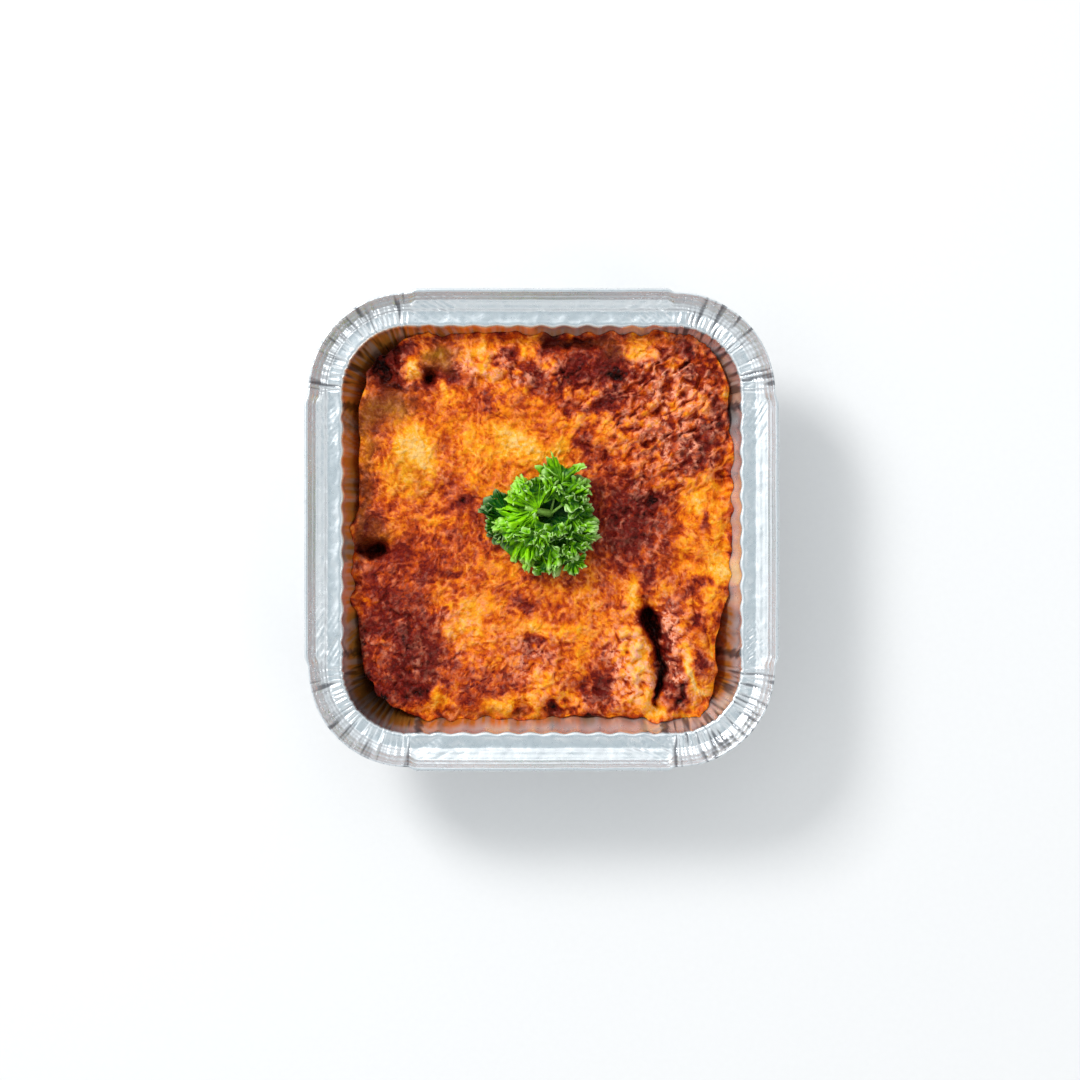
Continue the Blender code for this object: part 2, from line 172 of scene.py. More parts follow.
# Browning of a crust that is mostly at a middle level, from 0, pale, to 1, burnt
TOAST_LEVEL = 0.505
TOAST_UNDER_CRUST = 0.62
# Browned patches, in millimetres: centre x, y, reach x, y, turn, how much darker. The patches
# along the left edge are painted shadow of the tray's rim, and those to the right of the sprig
# are partly its painted shadow.
TOAST_AND_SHADOW_PATCHES = (
    (-25, 3, 5, 5, 0, 0.1),
    (-24, -15, 5, 5, 0, 0.12),
    (0, -15, 8, 4, 0, 0.12),
    (24, 14, 6, 14, 0, 0.09),
    (-55, -53, 5, 5, 0, 0.3),
    (52, 4, 5, 6, 0, 0.1),
    (14, -53, 5, 4, 0, 0.14),
    (-43, 42, 5, 4, 0, 0.08),
    (-15, -53, 6, 4, 0, 0.08),
    (54, 54, 4, 4, 0, 0.16),
    (-42, -42, 8, 14, 0, 0.08),
    (-55, 36, 4.4, 12, 0, 0.18),
    (-56, 12, 4, 13, 0, 0.14),
    (-34, 54, 6, 5, 0, 0.16),
    (-26, 8, 2.6, 2.6, 0, 0.26),
    (24, 53, 5, 3, 0, 0.1),
    (-50.5, 52.5, 5, 8.5, 25, 0.62),
    (-45, 46.5, 6, 2, -15, 0.35),
    (-44.5, 60, 7, 2.4, 15, 0.5),
    (-36.5, 49.4, 3, 2.8, 0, 0.35),
    (-29, 50, 3.6, 3.6, 0, 0.35),
    (-38, 44.8, 5, 3, 0, 0.16),
    (-52, 33.2, 4, 3, 0, 0.2),
    (-30, 36, 12, 6, 20, 0.05),
    (-17.5, 44, 4, 2.4, 15, 0.3),
    (-11.6, 57, 2.2, 1.6, 0, 0.5),
    (2.6, 60.5, 3.4, 2.4, 0, 0.55),
    (-6.6, 50.2, 4.2, 3, 0, 0.25),
    (3, 45, 6, 6, 0, 0.24),
    (10, 51, 7, 4.5, 0, 0.36),
    (11.4, 60.5, 9, 2.6, 0, 0.6),
    (23, 57.5, 4, 2.6, 0, 0.5),
    (24, 49.8, 4, 2.2, 0, 0.6),
    (21.2, 41, 4.6, 4.6, 0, 0.36),
    (13.2, 28.7, 3.2, 3.8, 0, 0.32),
    (19.6, 23, 3.6, 3.2, 0, 0.28),
    (42, 40, 20, 22, 20, 0.16),
    (46.8, 54, 3, 8, 0, 0.3),
    (51.6, 28, 7, 4.4, 35, 0.36),
    (40, 30, 6, 3, 35, 0.2),
    (47, 20.6, 4, 3, 0, 0.26),
    (57, 40, 2.4, 12, 0, 0.25),
    (31, 4, 11, 9, 0, 0.26),
    (24, -2, 9, 16, 0, 0.3),
    (36.4, 9, 5.5, 2.8, 10, 0.35),
    (34.6, -16, 2.2, 3.6, 0, 0.4),
    (53.5, 3, 1.2, 2.8, 0, 0.4),
    (51.3, -16.4, 4, 1.6, -10, 0.34),
    (-25, 9.8, 1.8, 1.4, 40, 0.45),
    (-58.4, 13, 1.6, 7, 0, 0.3),
    (-56.5, -0.5, 4, 3.2, 0, 0.45),
    (-55, -6.6, 6.4, 3.2, 0, 0.4),
    (-57.8, -16, 3.2, 3.6, 0, 0.3),
    (-42, -11, 14, 7, 0, 0.2),
    (-46, -23, 13, 7, -6, 0.24),
    (-25.5, -13.8, 5, 2.2, 10, 0.24),
    (-5.7, -24.7, 3.8, 3.2, 0, 0.32),
    (-58, -30, 4, 6, 0, 0.35),
    (-44.5, -33, 9, 6, -20, 0.26),
    (-42, -44, 11, 9, 20, 0.4),
    (-33, -41, 5, 5, 0, 0.2),
    (-39.6, -53, 3.6, 2.6, 0, 0.4),
    (-3, -37, 3.4, 5, -35, 0.34),
    (-14, -47, 9, 3.6, -10, 0.2),
    (3.4, -57.5, 3.4, 2.4, 0, 0.5),
    (-6, -58.5, 2.8, 2, 0, 0.5),
    (18, -50.6, 5.5, 7, 0, 0.36),
    (8, -30, 6, 4, 0, 0.14),
    (50.3, -28, 1.6, 3.2, 0, 0.45),
    (48.6, -19.4, 3.4, 2, 20, 0.3),
    (52.6, -43.4, 2.2, 4, 14, 0.5),
    (46.2, -52.8, 2, 3.6, 12, 0.35),
    (44.2, -56, 2, 3.2, -50, 0.3),
    (41.6, -40, 2.6, 14, 6, 0.2),
    (32.6, -29.4, 2.4, 3, 0, 0.2),
    (-47, 20, 9, 20, 0, 0.1),
    (-23, 6, 7, 12, 0, 0.14),
    (20, 54, 20, 5, 0, 0.14),
    (25, 40, 9, 9, 0, 0.08),
    (33, -6, 6, 14, 0, 0.14),
    (44, -24, 4, 5, 0, 0.16),
    (-24.5, -53, 5, 4, 0, 0.24),
    (-13, -53, 6, 4, 0, 0.14),
    (-45, -55, 6, 3, -30, 0.2),
    (-58, -42, 5, 11, 0, 0.2),
    (-57, -14, 5, 7, 0, 0.12),
    (-5, -43, 6, 5, 0, 0.1),
    (-54, 40, 5, 8, 0, 0.16),
    (-55, 10, 4, 12, 0, 0.12),
    (-44, 57, 8, 3, 10, 0.15),
    (-42, -46, 10, 9, 0, 0.08),
    (14, 54, 18, 5, 0, 0.1),
    (33, 12, 5, 4, 0, 0.08),
)
# Dry, crisp zones of the crust, where the tops of the bits carry a painted pinkish highlight:
# the same columns, and how crisp
CRISP_HIGHLIGHT_PATCHES = (
    (30, -45, 7.5, 14, 4, 0.9),
    (42, -40, 4, 17, 6, 0.9),
    (48, -54, 7, 4, 20, 0.7),
    (-25, -31, 8, 9, 0, 0.8),
    (42, 46, 11, 12, 25, 0.6),
    (46, 26, 10, 9, 30, 0.4),
    (30, 30, 8, 5, 30, 0.2),
    (14, -24, 7, 6, 0, 0.4),
    (-23, 54, 6, 5, 0, 0.6),
    (-12, 48, 10, 5, 0, 0.4),
    (-34, 20, 8, 8, 0, 0.25),
    (-4, -44, 12, 9, 0, 0.3),
    (29, 2, 9, 12, 0, 0.25),
    (-42, -38, 9, 9, 0, 0.2),
)
# Paler cheese: the same columns, and how much paler
PALE_PATCHES = (
    (32, 29, 7, 8, 0, 0.14),
    (6, 25, 5, 4, 0, 0.14),
    (14, -25, 6, 6, 0, 0.14),
    (4, -34, 6, 5, 0, 0.1),
    (43, 53, 5, 4, 0, 0.14),
    (31.6, -44, 4.2, 13, 0, 0.26),
    (-14, -43, 6, 5, 0, 0.09),
    (14, 43, 5, 5, 0, 0.09),
    (-42.8, 25.4, 9, 9, 0, 0.44),
    (-8.4, 26, 11, 7, 0, 0.32),
    (-42, 53, 3, 4.4, 0, 0.3),
    (-20, 56.4, 5, 5, 0, 0.28),
    (-33, 44.6, 6.6, 2.4, 8, 0.2),
    (-3, 57, 4, 3, 0, 0.2),
    (13, 34, 9, 4.4, 10, 0.1),
    (30, 57.4, 9, 3, 15, 0.24),
    (36, 38.6, 7, 2.4, 14, 0.12),
    (59.6, 45, 2.4, 3, 0, 0.4),
    (54, 4, 8, 18, 0, 0.2),
    (58, -14.6, 4, 3.6, 0, 0.28),
    (-52, 14, 6, 14, 0, 0.08),
    (-24, -26, 8, 8, 0, 0.2),
    (-28.6, -33.4, 4.6, 3, 0, 0.16),
    (-22, -35, 5, 5, 0, 0.14),
    (33.6, 34, 4.5, 4, 0, 0.1),
    (-34.4, -53.8, 3.4, 3.2, 0, 0.42),
    (-41.6, -46.6, 2.2, 2, 0, 0.34),
    (-12, -58, 15, 2.6, 0, 0.26),
    (30, -21, 4.4, 5, 0, 0.45),
    (29, -44, 6, 12, 0, 0.08),
    (12.6, -42, 4.4, 5, 0, 0.2),
    (11.4, -55, 5, 3, 0, 0.2),
    (50, -47, 1.7, 9.4, 32, 0.4),
    (55.6, -36, 0.8, 12, 0, 0.2),
    (-6, -31, 5, 3, 20, 0.14),
    (38.6, -60, 3.2, 3, 0, 0.45),
    (-24, 43, 5, 4, 0, 0.12),
    (43, 48, 6, 8, 0, 0.24),
    (-4, -54, 8, 4, 0, 0.1),
    (5, 21, 6, 5, 0, 0.12),
    (36, -49, 2.2, 5, 0, 0.2),
    (42, -38, 1.8, 9, 6, 0.14),
    (50, -52, 3, 4, 30, 0.2),
    (24, -52, 4, 5, 0, 0.1),
)
# Holes, in millimetres: centre x, y, reach x, y, turn, depth; they are coloured darker the
# deeper they are, partly as burnt crust and partly as painted shade
HOLES = (
    (35.2, -28.2, 2.7, 3.6, 18, 3),
    (-36.6, 49.4, 2.3, 2.4, 30, 2.6),
    (-52.6, 53, 2.6, 5, 35, 1.8),
    (-48, 46.6, 3.4, 1.2, -20, 1.2),
    (-29.2, 50.2, 2.4, 2.2, 0, 1.3),
    (-55.4, -6.8, 4.6, 2, 0, 2.6),
    (-57, 1, 2.2, 2, 0, 0.9),
    (2.6, 60.4, 2.6, 1.4, 0, 1.5),
    (12, 60.8, 6, 1.5, 0, 1.6),
    (24, 49.8, 2.8, 1.3, 10, 1.3),
    (47.6, 57, 1.2, 4, -20, 1.3),
    (57.4, 36, 1.2, 3.4, 0, 1),
    (52, 26.4, 3.4, 1.3, 40, 1.1),
    (36.4, 9.2, 3, 1.5, 5, 0.7),
    (50.4, -28, 1.4, 2.6, 0, 1),
    (52.8, -43.6, 1.5, 3, 16, 0.9),
    (46.4, -52.6, 1.3, 2.6, 12, 1.6),
    (44.2, -56, 1.2, 2.4, -50, 1.6),
    (3.4, -58.4, 3, 1.4, 0, 1.2),
    (-6, -58.8, 2.6, 1.2, 0, 0.9),
    (18.6, -51, 2.2, 4.6, 10, 0.8),
    (-39.6, -53, 2.2, 1.6, 0, 0.9),
    (-25.2, 9.8, 1.4, 1.1, 40, 0.6),
)
# Thin ochre sauce that has run between the crust and the foil: the same columns, and share
SAUCE_PATCHES = (
    (-33, 55.6, 5.4, 3.4, 0, 1),
    (-51, 40, 8.5, 5.6, 10, 0.85),
    (-57.5, 28, 3, 14, 0, 0.6),
    (-58, 4, 2.6, 10, 0, 0.5),
    (-52, -1, 5, 3, 0, 0.5),
    (24, 57.4, 3.6, 1.8, 0, 0.6),
    (10, 61, 30, 1.4, 0, 0.4),
    (-14, -60.4, 16, 1.6, 0, 0.5),
    (-43, 20, 7, 8, 20, 0.4),
)

# Parsley: leaf blades by their apex in millimetres (x, y, height above the crust), degrees
# round and of rise, radius in millimetres, curl, how young and yellow-green, which also paints
# light on lit blades and shade on dark ones, teeth, and how deep the teeth are cut
SPRIG_PLACE = (2.8, 5.2)
BLADES = (
    (-10, 4, 2.6, 196, 2, 10.5, -0.1, 0.05, 23, 0.2),
    (-1, 6.6, 7.6, 158, 8, 11.4, -0.34, 1.5, 35, 0.2),
    (-1.4, 4.8, 7.2, 198, 8, 13.4, -0.34, 1.9, 37, 0.2),
    (-2.2, 1.4, 6.4, 234, 4, 14.4, -0.3, 1.3, 35, 0.2),
    (3.6, 1.2, 5.8, 274, 3, 15.6, -0.24, 0.5, 27, 0.2),
    (7.6, 0, 6.4, 304, 4, 10.6, -0.25, 0.4, 25, 0.2),
    (8.4, 6.2, 7, 3, 6, 8.4, -0.24, 0.25, 21, 0.2),
    (5.8, 8.6, 6.6, 42, 8, 11.4, -0.25, 0.4, 27, 0.22),
    (6.4, 15.4, 7.6, 76, 14, 10.4, 0, 0.8, 13, 0.6),
    (0.6, 8.4, 6.8, 116, 8, 8.4, -0.26, 0.45, 23, 0.2),
    # These three low blades at the heart are dark to paint the shade in the sprig's middle
    (3, 6.5, 1.6, 90, 8, 7, 0, -0.1, 9, 0.2),
    (3, 4.5, 1.6, 270, 8, 7, 0, -0.1, 9, 0.2),
    (3.6, 5.4, 1.2, 0, 6, 7.5, 0, -0.1, 9, 0.2),
    (-13.6, 1.6, 3, 222, 30, 5.5, -0.1, 0.1, 11, 0.3),
    (-1.6, 12, 6.8, 112, 30, 5.4, -0.05, 0.3, 11, 0.35),
    (10.6, 11.4, 7, 52, 32, 6.2, 0, 0.5, 11, 0.45),
    (10.4, 7.6, 7.6, 12, 40, 4.8, 0, 0.25, 11, 0.4),
    (9.6, -3.4, 6.6, 305, 34, 6.4, 0, 0.45, 13, 0.35),
    (1.4, 2, 7.6, 262, 46, 6.4, 0.05, 0.4, 13, 0.35),
    (5, 2, 7.6, 290, 48, 6, 0.05, 0.5, 11, 0.4),
    (-1.4, -1.4, 7.2, 236, 40, 6, 0.05, 0.5, 11, 0.35),
    (2, -4.4, 6.8, 258, 34, 6, 0, 0.4, 11, 0.4),
    (6, -6.6, 6, 290, 30, 6.2, 0, 0.55, 13, 0.35),
    (8.4, 9, 8.2, 30, 52, 4.8, 0.1, 0.35, 9, 0.4),
    (3.2, 12, 7.2, 80, 48, 4.6, 0.1, 0.35, 9, 0.4),
    (12, -3.2, 6, 326, 26, 4.6, 0, 0.3, 11, 0.35),
    (1, -10.4, 4.6, 256, 24, 5, -0.1, 0.5, 11, 0.35),
    (10, -9.6, 4.6, 300, 24, 5, -0.1, 0.45, 11, 0.35),
    (-6.4, 10.8, 7.6, 130, 40, 4.6, 0, 0.9, 9, 0.4),
    (-8.6, -0.4, 7, 215, 34, 5.2, 0, 1, 11, 0.4),
    (3.4, -0.6, 8.4, 275, 58, 4.6, 0.1, 0.6, 9, 0.4),
    (8.6, 0, 7.4, 320, 46, 4.8, 0.05, 0.4, 9, 0.4),
)
# Stalks by the place in millimetres that each runs to (x, y, height above the crust) and
# its radius
STALKS = (
    (-5.4, 7.2, 6.4, 1.2),
    (8.4, 9.4, 3, 0.5),
    (5.2, 15, 2.6, 0.4),
    (-11, 3.4, 2.2, 0.5),
)


def linear(code):
    """Linear red, green and blue of an sRGB hex colour, such as "e58120"."""
    values = [int(code[place:place + 2], 16) / 255.0 for place in (0, 2, 4)]
    return tuple(v / 12.92 if v <= 0.04045 else ((v + 0.055) / 1.055) ** 2.4 for v in values)


def colour_setting(name, description, code):
    """A colour that a user can change, from an sRGB hex default."""
    return bpy.props.FloatVectorProperty(
        name=name, description=description, subtype="COLOR", size=3,
        min=0.0, max=1.0, default=linear(code))


def length_setting(name, description, value):
    """A length in metres that a user can change."""
    return bpy.props.FloatProperty(
        name=name, description=description, subtype="DISTANCE", unit="LENGTH",
        min=0.0, default=value, precision=5)


def share_setting(name, description, value):
    """A plain factor that a user can change."""
    return bpy.props.FloatProperty(
        name=name, description=description, subtype="FACTOR", min=0.0, max=2.0, default=value)


class FoilTraySettings(bpy.types.PropertyGroup):
    flute_depth: length_setting("Flute depth", "How far the flutes stand in and out",
                                0.46 * MM)
    pleat_depth: length_setting("Pleat depth", "Depth of the corner pleats", 0.42 * MM)
    dent_depth: length_setting("Dent depth", "Depth of the dents in the shelf", 0.18 * MM)
    foil: colour_setting("Foil", "Bare aluminium foil", "e6ebee")
    # Painted shade in tight creases and pleats, and a painted shadow in the wall's gap at the
    # lower left
    crease: colour_setting("Crease", "Shade of the foil in tight creases and burnt fat", "848488")
    grease: colour_setting("Grease", "Baked-on fat and sauce on the inner wall", "e2963a")


class CrustSettings(bpy.types.PropertyGroup):
    crumb_height: length_setting("Crumb height", "Height of the crumbly bits", 1.0 * MM)
    blister_height: length_setting("Blister height", "Height of the cheese blisters",
                                   0.35 * MM)
    toast: share_setting("Toasting", "How strongly the patches are browned", 1.0)
    cream: colour_setting("Cream", "Least browned cheese", "f2c272")
    gold: colour_setting("Gold", "Melted cheese", "f6a61c")
    amber: colour_setting("Amber", "Lightly browned cheese", "e67a0e")
    russet: colour_setting("Russet", "Browned cheese", "b8440c")
    umber: colour_setting("Umber", "Dark red-brown cheese", "701810")
    # Char is also the painted shade deep in the holes and the furrow
    char: colour_setting("Char", "Burnt edges and deep holes", "120302")
    # Tan is the colour of the painted pinkish highlight on the dry tops of browned bits
    tan: colour_setting("Tan", "Dry, crisp tops of browned bits", "f8aa8a")
    sauce: colour_setting("Sauce", "Thin wet sauce at the edges", "b88a18")


class ParsleySettings(bpy.types.PropertyGroup):
    frill: share_setting("Frill", "How far the leaf edges wave, as a share of the leaflet",
                         0.24)
    pleat_height: length_setting("Pleat height", "Height of the fine pleats at the rim",
                                 0.75 * MM)
    leaf_thickness: length_setting("Leaf thickness", "Thickness of a leaf", 0.22 * MM)
    # The young colour also serves as painted light on lit blades and fold crests, the mature one
    # as painted shade, and the edge colour as painted highlight
    young_and_lit: colour_setting("Young leaf", "Yellow-green leaf", "92da0c")
    mature_and_shaded: colour_setting("Mature leaf", "Dark green leaf", "064a08")
    edge: colour_setting("Leaf edge", "Pale leaf edges", "cdeca6")
    stalk: colour_setting("Stalk", "Pale green stalks", "a4d85c")


class StudioSettings(bpy.types.PropertyGroup):
    floor: colour_setting("Floor", "Plain pale floor", "ececec")
    key: bpy.props.FloatProperty(name="Key light", description="Power of the main softbox",
                                 unit="POWER", min=0.0, default=9.2)
    fill: bpy.props.FloatProperty(name="Fill light", description="Power of the fill softbox",
                                  unit="POWER", min=0.0, default=1.6)
    room: share_setting("Room", "Brightness of the white room", 0.92)


def add_node(tree, kind, inputs=None, **settings):
    """Add a node, set its properties, then fill its inputs with values or links."""
    node = tree.nodes.new(kind)
    for name, value in settings.items():
        setattr(node, name, value)
    for name, value in (inputs or {}).items():
        socket = node.inputs[name]
        if isinstance(value, bpy.types.NodeSocket):
            tree.links.new(value, socket)
        else:
            socket.default_value = value
    return node


def start_material(name):
    """A new node material: its tree and its Principled shader."""
    material = bpy.data.materials.new(name)
    material.use_nodes = True
    return material, material.node_tree, material.node_tree.nodes["Principled BSDF"]


def object_place(tree):
    """Where a point lies in its object's own coordinates."""
    return add_node(tree, "ShaderNodeTexCoord").outputs["Object"]


def point_value(tree, name):
    """A number that each point of the mesh carries, by its attribute's name."""
    return add_node(tree, "ShaderNodeAttribute", attribute_name=name).outputs["Fac"]


def mix_colours(tree, share, first, second, blend="MIX"):
    """The first colour, mixed or blended with the second by a share."""
    first, second = (part if isinstance(part, bpy.types.NodeSocket) else (*part, 1.0)
                     for part in (first, second))
    node = add_node(tree, "ShaderNodeMix", {"Factor": share, "A": first, "B": second},
                    data_type="RGBA", blend_type=blend)
    return node.outputs["Result"]


def move_range(tree, value, low, high, new_low, new_high):
    """A value moved from one range to another, and kept within it."""
    node = add_node(tree, "ShaderNodeMapRange", {
        "Value": value, "From Min": low, "From Max": high,
        "To Min": new_low, "To Max": new_high})
    return node.outputs["Result"]


def colour_ramp(tree, value, stops):
    """A colour for each value, from stops of a place and its colour."""
    node = add_node(tree, "ShaderNodeValToRGB", {"Fac": value})
    ramp = node.color_ramp
    while len(ramp.elements) > 1:
        ramp.elements.remove(ramp.elements[-1])
    for number, (place, colour) in enumerate(stops):
        element = ramp.elements[0] if number == 0 else ramp.elements.new(place)
        element.position = place
        element.color = (*colour, 1.0)
    return node.outputs["Color"]


def lattice_noise(x, y, cell, seed):
    """Smooth noise from -1 to 1: slopes drawn at the corners of square cells, blended."""
    size = 64
    angles = np.random.default_rng(seed).uniform(0.0, FULL_TURN, (size, size))
    column = np.floor(x / cell).astype(int)
    row = np.floor(y / cell).astype(int)
    across = x / cell - column
    along = y / cell - row

    def corner(step_x, step_y):
        angle = angles[(column + step_x) % size, (row + step_y) % size]
        return np.cos(angle) * (across - step_x) + np.sin(angle) * (along - step_y)

    blend_x = across * across * (3.0 - 2.0 * across)
    blend_y = along * along * (3.0 - 2.0 * along)
    near = corner(0, 0) * (1.0 - blend_x) + corner(1, 0) * blend_x
    far = corner(0, 1) * (1.0 - blend_x) + corner(1, 1) * blend_x
    return 1.6 * (near * (1.0 - blend_y) + far * blend_y)


def ridge_noise(x, y, cell, seed):
    """Sharp-crested noise from 0 to 1: one less the size of the smooth noise, squared."""
    return np.clip(1.0 - np.abs(lattice_noise(x, y, cell, seed)), 0.0, 1.0) ** 2


def cell_domes(x, y, cell, seed, full=0.75):
    """Round domes, one placed at random in each square cell: the height, from 0 to 1, of
    the highest dome over each point, and that dome's own random share from -1 to 1."""
    size = 128
    draw = np.random.default_rng(seed).random((4, size, size))
    column = np.floor(x / cell).astype(int)
    row = np.floor(y / cell).astype(int)
    highest = np.zeros(np.shape(x))
    share = np.zeros(np.shape(x))
    for step_x in (-1, 0, 1):
        for step_y in (-1, 0, 1):
            i = (column + step_x) % size
            j = (row + step_y) % size
            centre_x = (column + step_x + draw[0, i, j]) * cell
            centre_y = (row + step_y + draw[1, i, j]) * cell
            radius = cell * full * (0.5 + 0.7 * draw[2, i, j])
            near = 1.0 - (np.hypot(x - centre_x, y - centre_y) / radius) ** 2
            dome = np.sqrt(np.maximum(near, 0.0)) * radius / cell
            share = np.where(dome > highest, 2.0 * draw[3, i, j] - 1.0, share)
            highest = np.maximum(highest, dome)
    return highest, share


def smooth_step(value, low, high):
    """0 below low, 1 above high, and a smooth rise between."""
    share = np.clip((value - low) / (high - low), 0.0, 1.0)
    return share * share * (3.0 - 2.0 * share)


def distance_to_line(x, y, line):
    """Shortest distance from each point to a line of straight pieces."""
    nearest = np.full(np.shape(x), 1e9)
    for (start_x, start_y), (end_x, end_y) in zip(line[:-1], line[1:]):
        run_x = end_x - start_x
        run_y = end_y - start_y
        share = ((x - start_x) * run_x + (y - start_y) * run_y) / (run_x ** 2 + run_y ** 2)
        share = np.clip(share, 0.0, 1.0)
        gap = np.hypot(x - start_x - share * run_x, y - start_y - share * run_y)
        nearest = np.minimum(nearest, gap)
    return nearest


def patch_sum(x, y, patches, power=1.0):
    """Sum of soft oval patches: each is its amount times exp of minus the squared distance,
    measured in its own reach and turn, raised to a power."""
    total = np.zeros(np.shape(x))
    for centre_x, centre_y, reach_x, reach_y, turn, amount in patches:
        angle = math.radians(turn)
        off_x = x / MM - centre_x
        off_y = y / MM - centre_y
        along = (off_x * math.cos(angle) + off_y * math.sin(angle)) / reach_x
        across = (off_y * math.cos(angle) - off_x * math.sin(angle)) / reach_y
        total = total + amount * np.exp(-(along ** 2 + across ** 2) ** power)
    return total


def wall_offset(height):
    """The straight taper of the inner wall: offset from the opening's edge at a height."""
    return WALL_TOP_OFFSET - (WALL_TOP_Z - height) * WALL_SLOPE


def crust_level(x, y):
    """Height of the crust as the solid has it: a tilted level that falls at the edge, with
    mounds, hollows, the furrow and rolling bumps, and the highest parts pressed flat."""
    beyond = np.hypot(np.maximum(np.abs(x) - CORE_X, 0.0), np.maximum(np.abs(y) - CORE_Y, 0.0))
    inset = np.maximum(OPENING_RADIUS + wall_offset(LEVEL) - beyond, 0.0)
    height = LEVEL + LEVEL_TILT * y - EDGE_DROP * np.exp(-(inset / EDGE_REACH) ** 2)
    height = height + MM * patch_sum(x, y, CRUST_FORMS, 1.5)
    furrow = distance_to_line(x / MM, y / MM, FURROW_LINE) / FURROW_REACH
    height = height - FURROW_DEPTH * MM * np.exp(-furrow ** 2)
    for cell, rise, seed in ROLLS:
        height = height + rise * lattice_noise(x, y, cell, seed)
    over = np.maximum(height - LEVEL, 0.0)
    room = HIGHEST - LEVEL
    return np.minimum(height, LEVEL) + room * np.tanh(over / room)


def edge_gap(x, y):
    """How far the crust's edge stands back from the wall."""
    gap = np.zeros(np.shape(x))
    for place_x, place_y, reach, depth in EDGE_GAPS:
        away = np.hypot(x / MM - place_x, y / MM - place_y) / reach
        gap = gap + depth * MM * np.exp(-away ** 4)
    return gap


def wall_ripple(core, normal, height, settings):
    """How far the wall stands out of its plain taper: cosine flutes along the straight
    sides, each a little different, and fine pleats round the corners. Slanting creases
    start at the corners and die out along the sides."""
    on_x_side = np.abs(normal[:, 0]) > 1.0 - 1e-9
    on_y_side = np.abs(normal[:, 1]) > 1.0 - 1e-9
    straight = on_x_side | on_y_side
    along = np.where(on_x_side, core[:, 1], core[:, 0])
    half = np.where(on_x_side, CORE_Y, CORE_X)
    side = np.where(on_x_side, np.sign(normal[:, 0]) + 2.0, np.sign(normal[:, 1]) * 2.0 + 5.0)
    wave = -np.cos(FULL_TURN * (along + FLUTED_HALF) / FLUTE_PITCH)
    ease = 1.0 - smooth_step(np.abs(along), FLUTED_HALF, half)
    uneven = 0.85 + 0.3 * lattice_noise(along, side * 0.37, 6.0 * MM, 21)
    flutes = straight * settings.flute_depth * wave * ease * uneven

    angle = np.arctan2(normal[:, 1], normal[:, 0])
    arc = angle * OPENING_RADIUS
    pleats = lattice_noise(arc, height * 0.10, 1.25 * MM, 31)
    pleats = pleats + 0.7 * lattice_noise(arc, height * 0.15, 2.6 * MM, 32)
    to_corner = np.where(straight, half - np.abs(along), 0.0)
    corner_share = 1.0 - smooth_step(to_corner, 0.0, 4.0 * MM)
    wrinkles = settings.pleat_depth * pleats * corner_share * ~straight

    slant = to_corner - 0.9 * (height - WALL_FOOT_Z)
    crease = ridge_noise(slant + side * 11.0 * MM, side * 5.0 * MM + height * 0.1, 3.2 * MM, 41)
    fade = 1.0 - smooth_step(to_corner, 6.0 * MM, 20.0 * MM)
    creases = 0.9 * settings.pleat_depth * (crease - 0.4) * fade * straight
    creases = creases * smooth_step(to_corner, 0.0, 2.0 * MM)
    return flutes + wrinkles + creases


def tray_stations(per_side, per_corner):
    """Stations anticlockwise round the tray: points of the core rectangle, the outward
    normals, and 1 in a corner falling to 0 along the sides."""
    cores, normals, shares = [], [], []
    for side in range(4):
        facing = side * math.pi / 2.0
        normal = np.array((math.cos(facing), math.sin(facing)))
        onward = np.array((-normal[1], normal[0]))
        half = np.abs(onward) @ np.array((CORE_X, CORE_Y))
        middle = normal * np.array((CORE_X, CORE_Y))
        places = np.linspace(-half, half, per_side, endpoint=False)
        cores.append(middle + places[:, None] * onward)
        normals.append(np.repeat(normal[None, :], per_side, axis=0))
        shares.append(smooth_step(np.abs(places), FLUTED_HALF, half))
        turns = facing + np.linspace(0.0, math.pi / 2.0, per_corner, endpoint=False)
        end = middle + onward * half
        cores.append(np.repeat(end[None, :], per_corner, axis=0))
        normals.append(np.stack([np.cos(turns), np.sin(turns)], axis=1))
        shares.append(np.ones(per_corner))
    normals = np.concatenate(normals)
    normals[np.abs(normals) < 1e-12] = 0.0
    return np.concatenate(cores), normals, np.concatenate(shares)


def rounded_section(keys):
    """A line through key points with each corner cut once at a quarter of its sides."""
    keys = np.array(keys)
    start = 0.75 * keys[:-1] + 0.25 * keys[1:]
    end = 0.25 * keys[:-1] + 0.75 * keys[1:]
    middle = np.stack([start, end], axis=1).reshape(-1, keys.shape[1])
    return np.concatenate([keys[:1], middle, keys[-1:]])


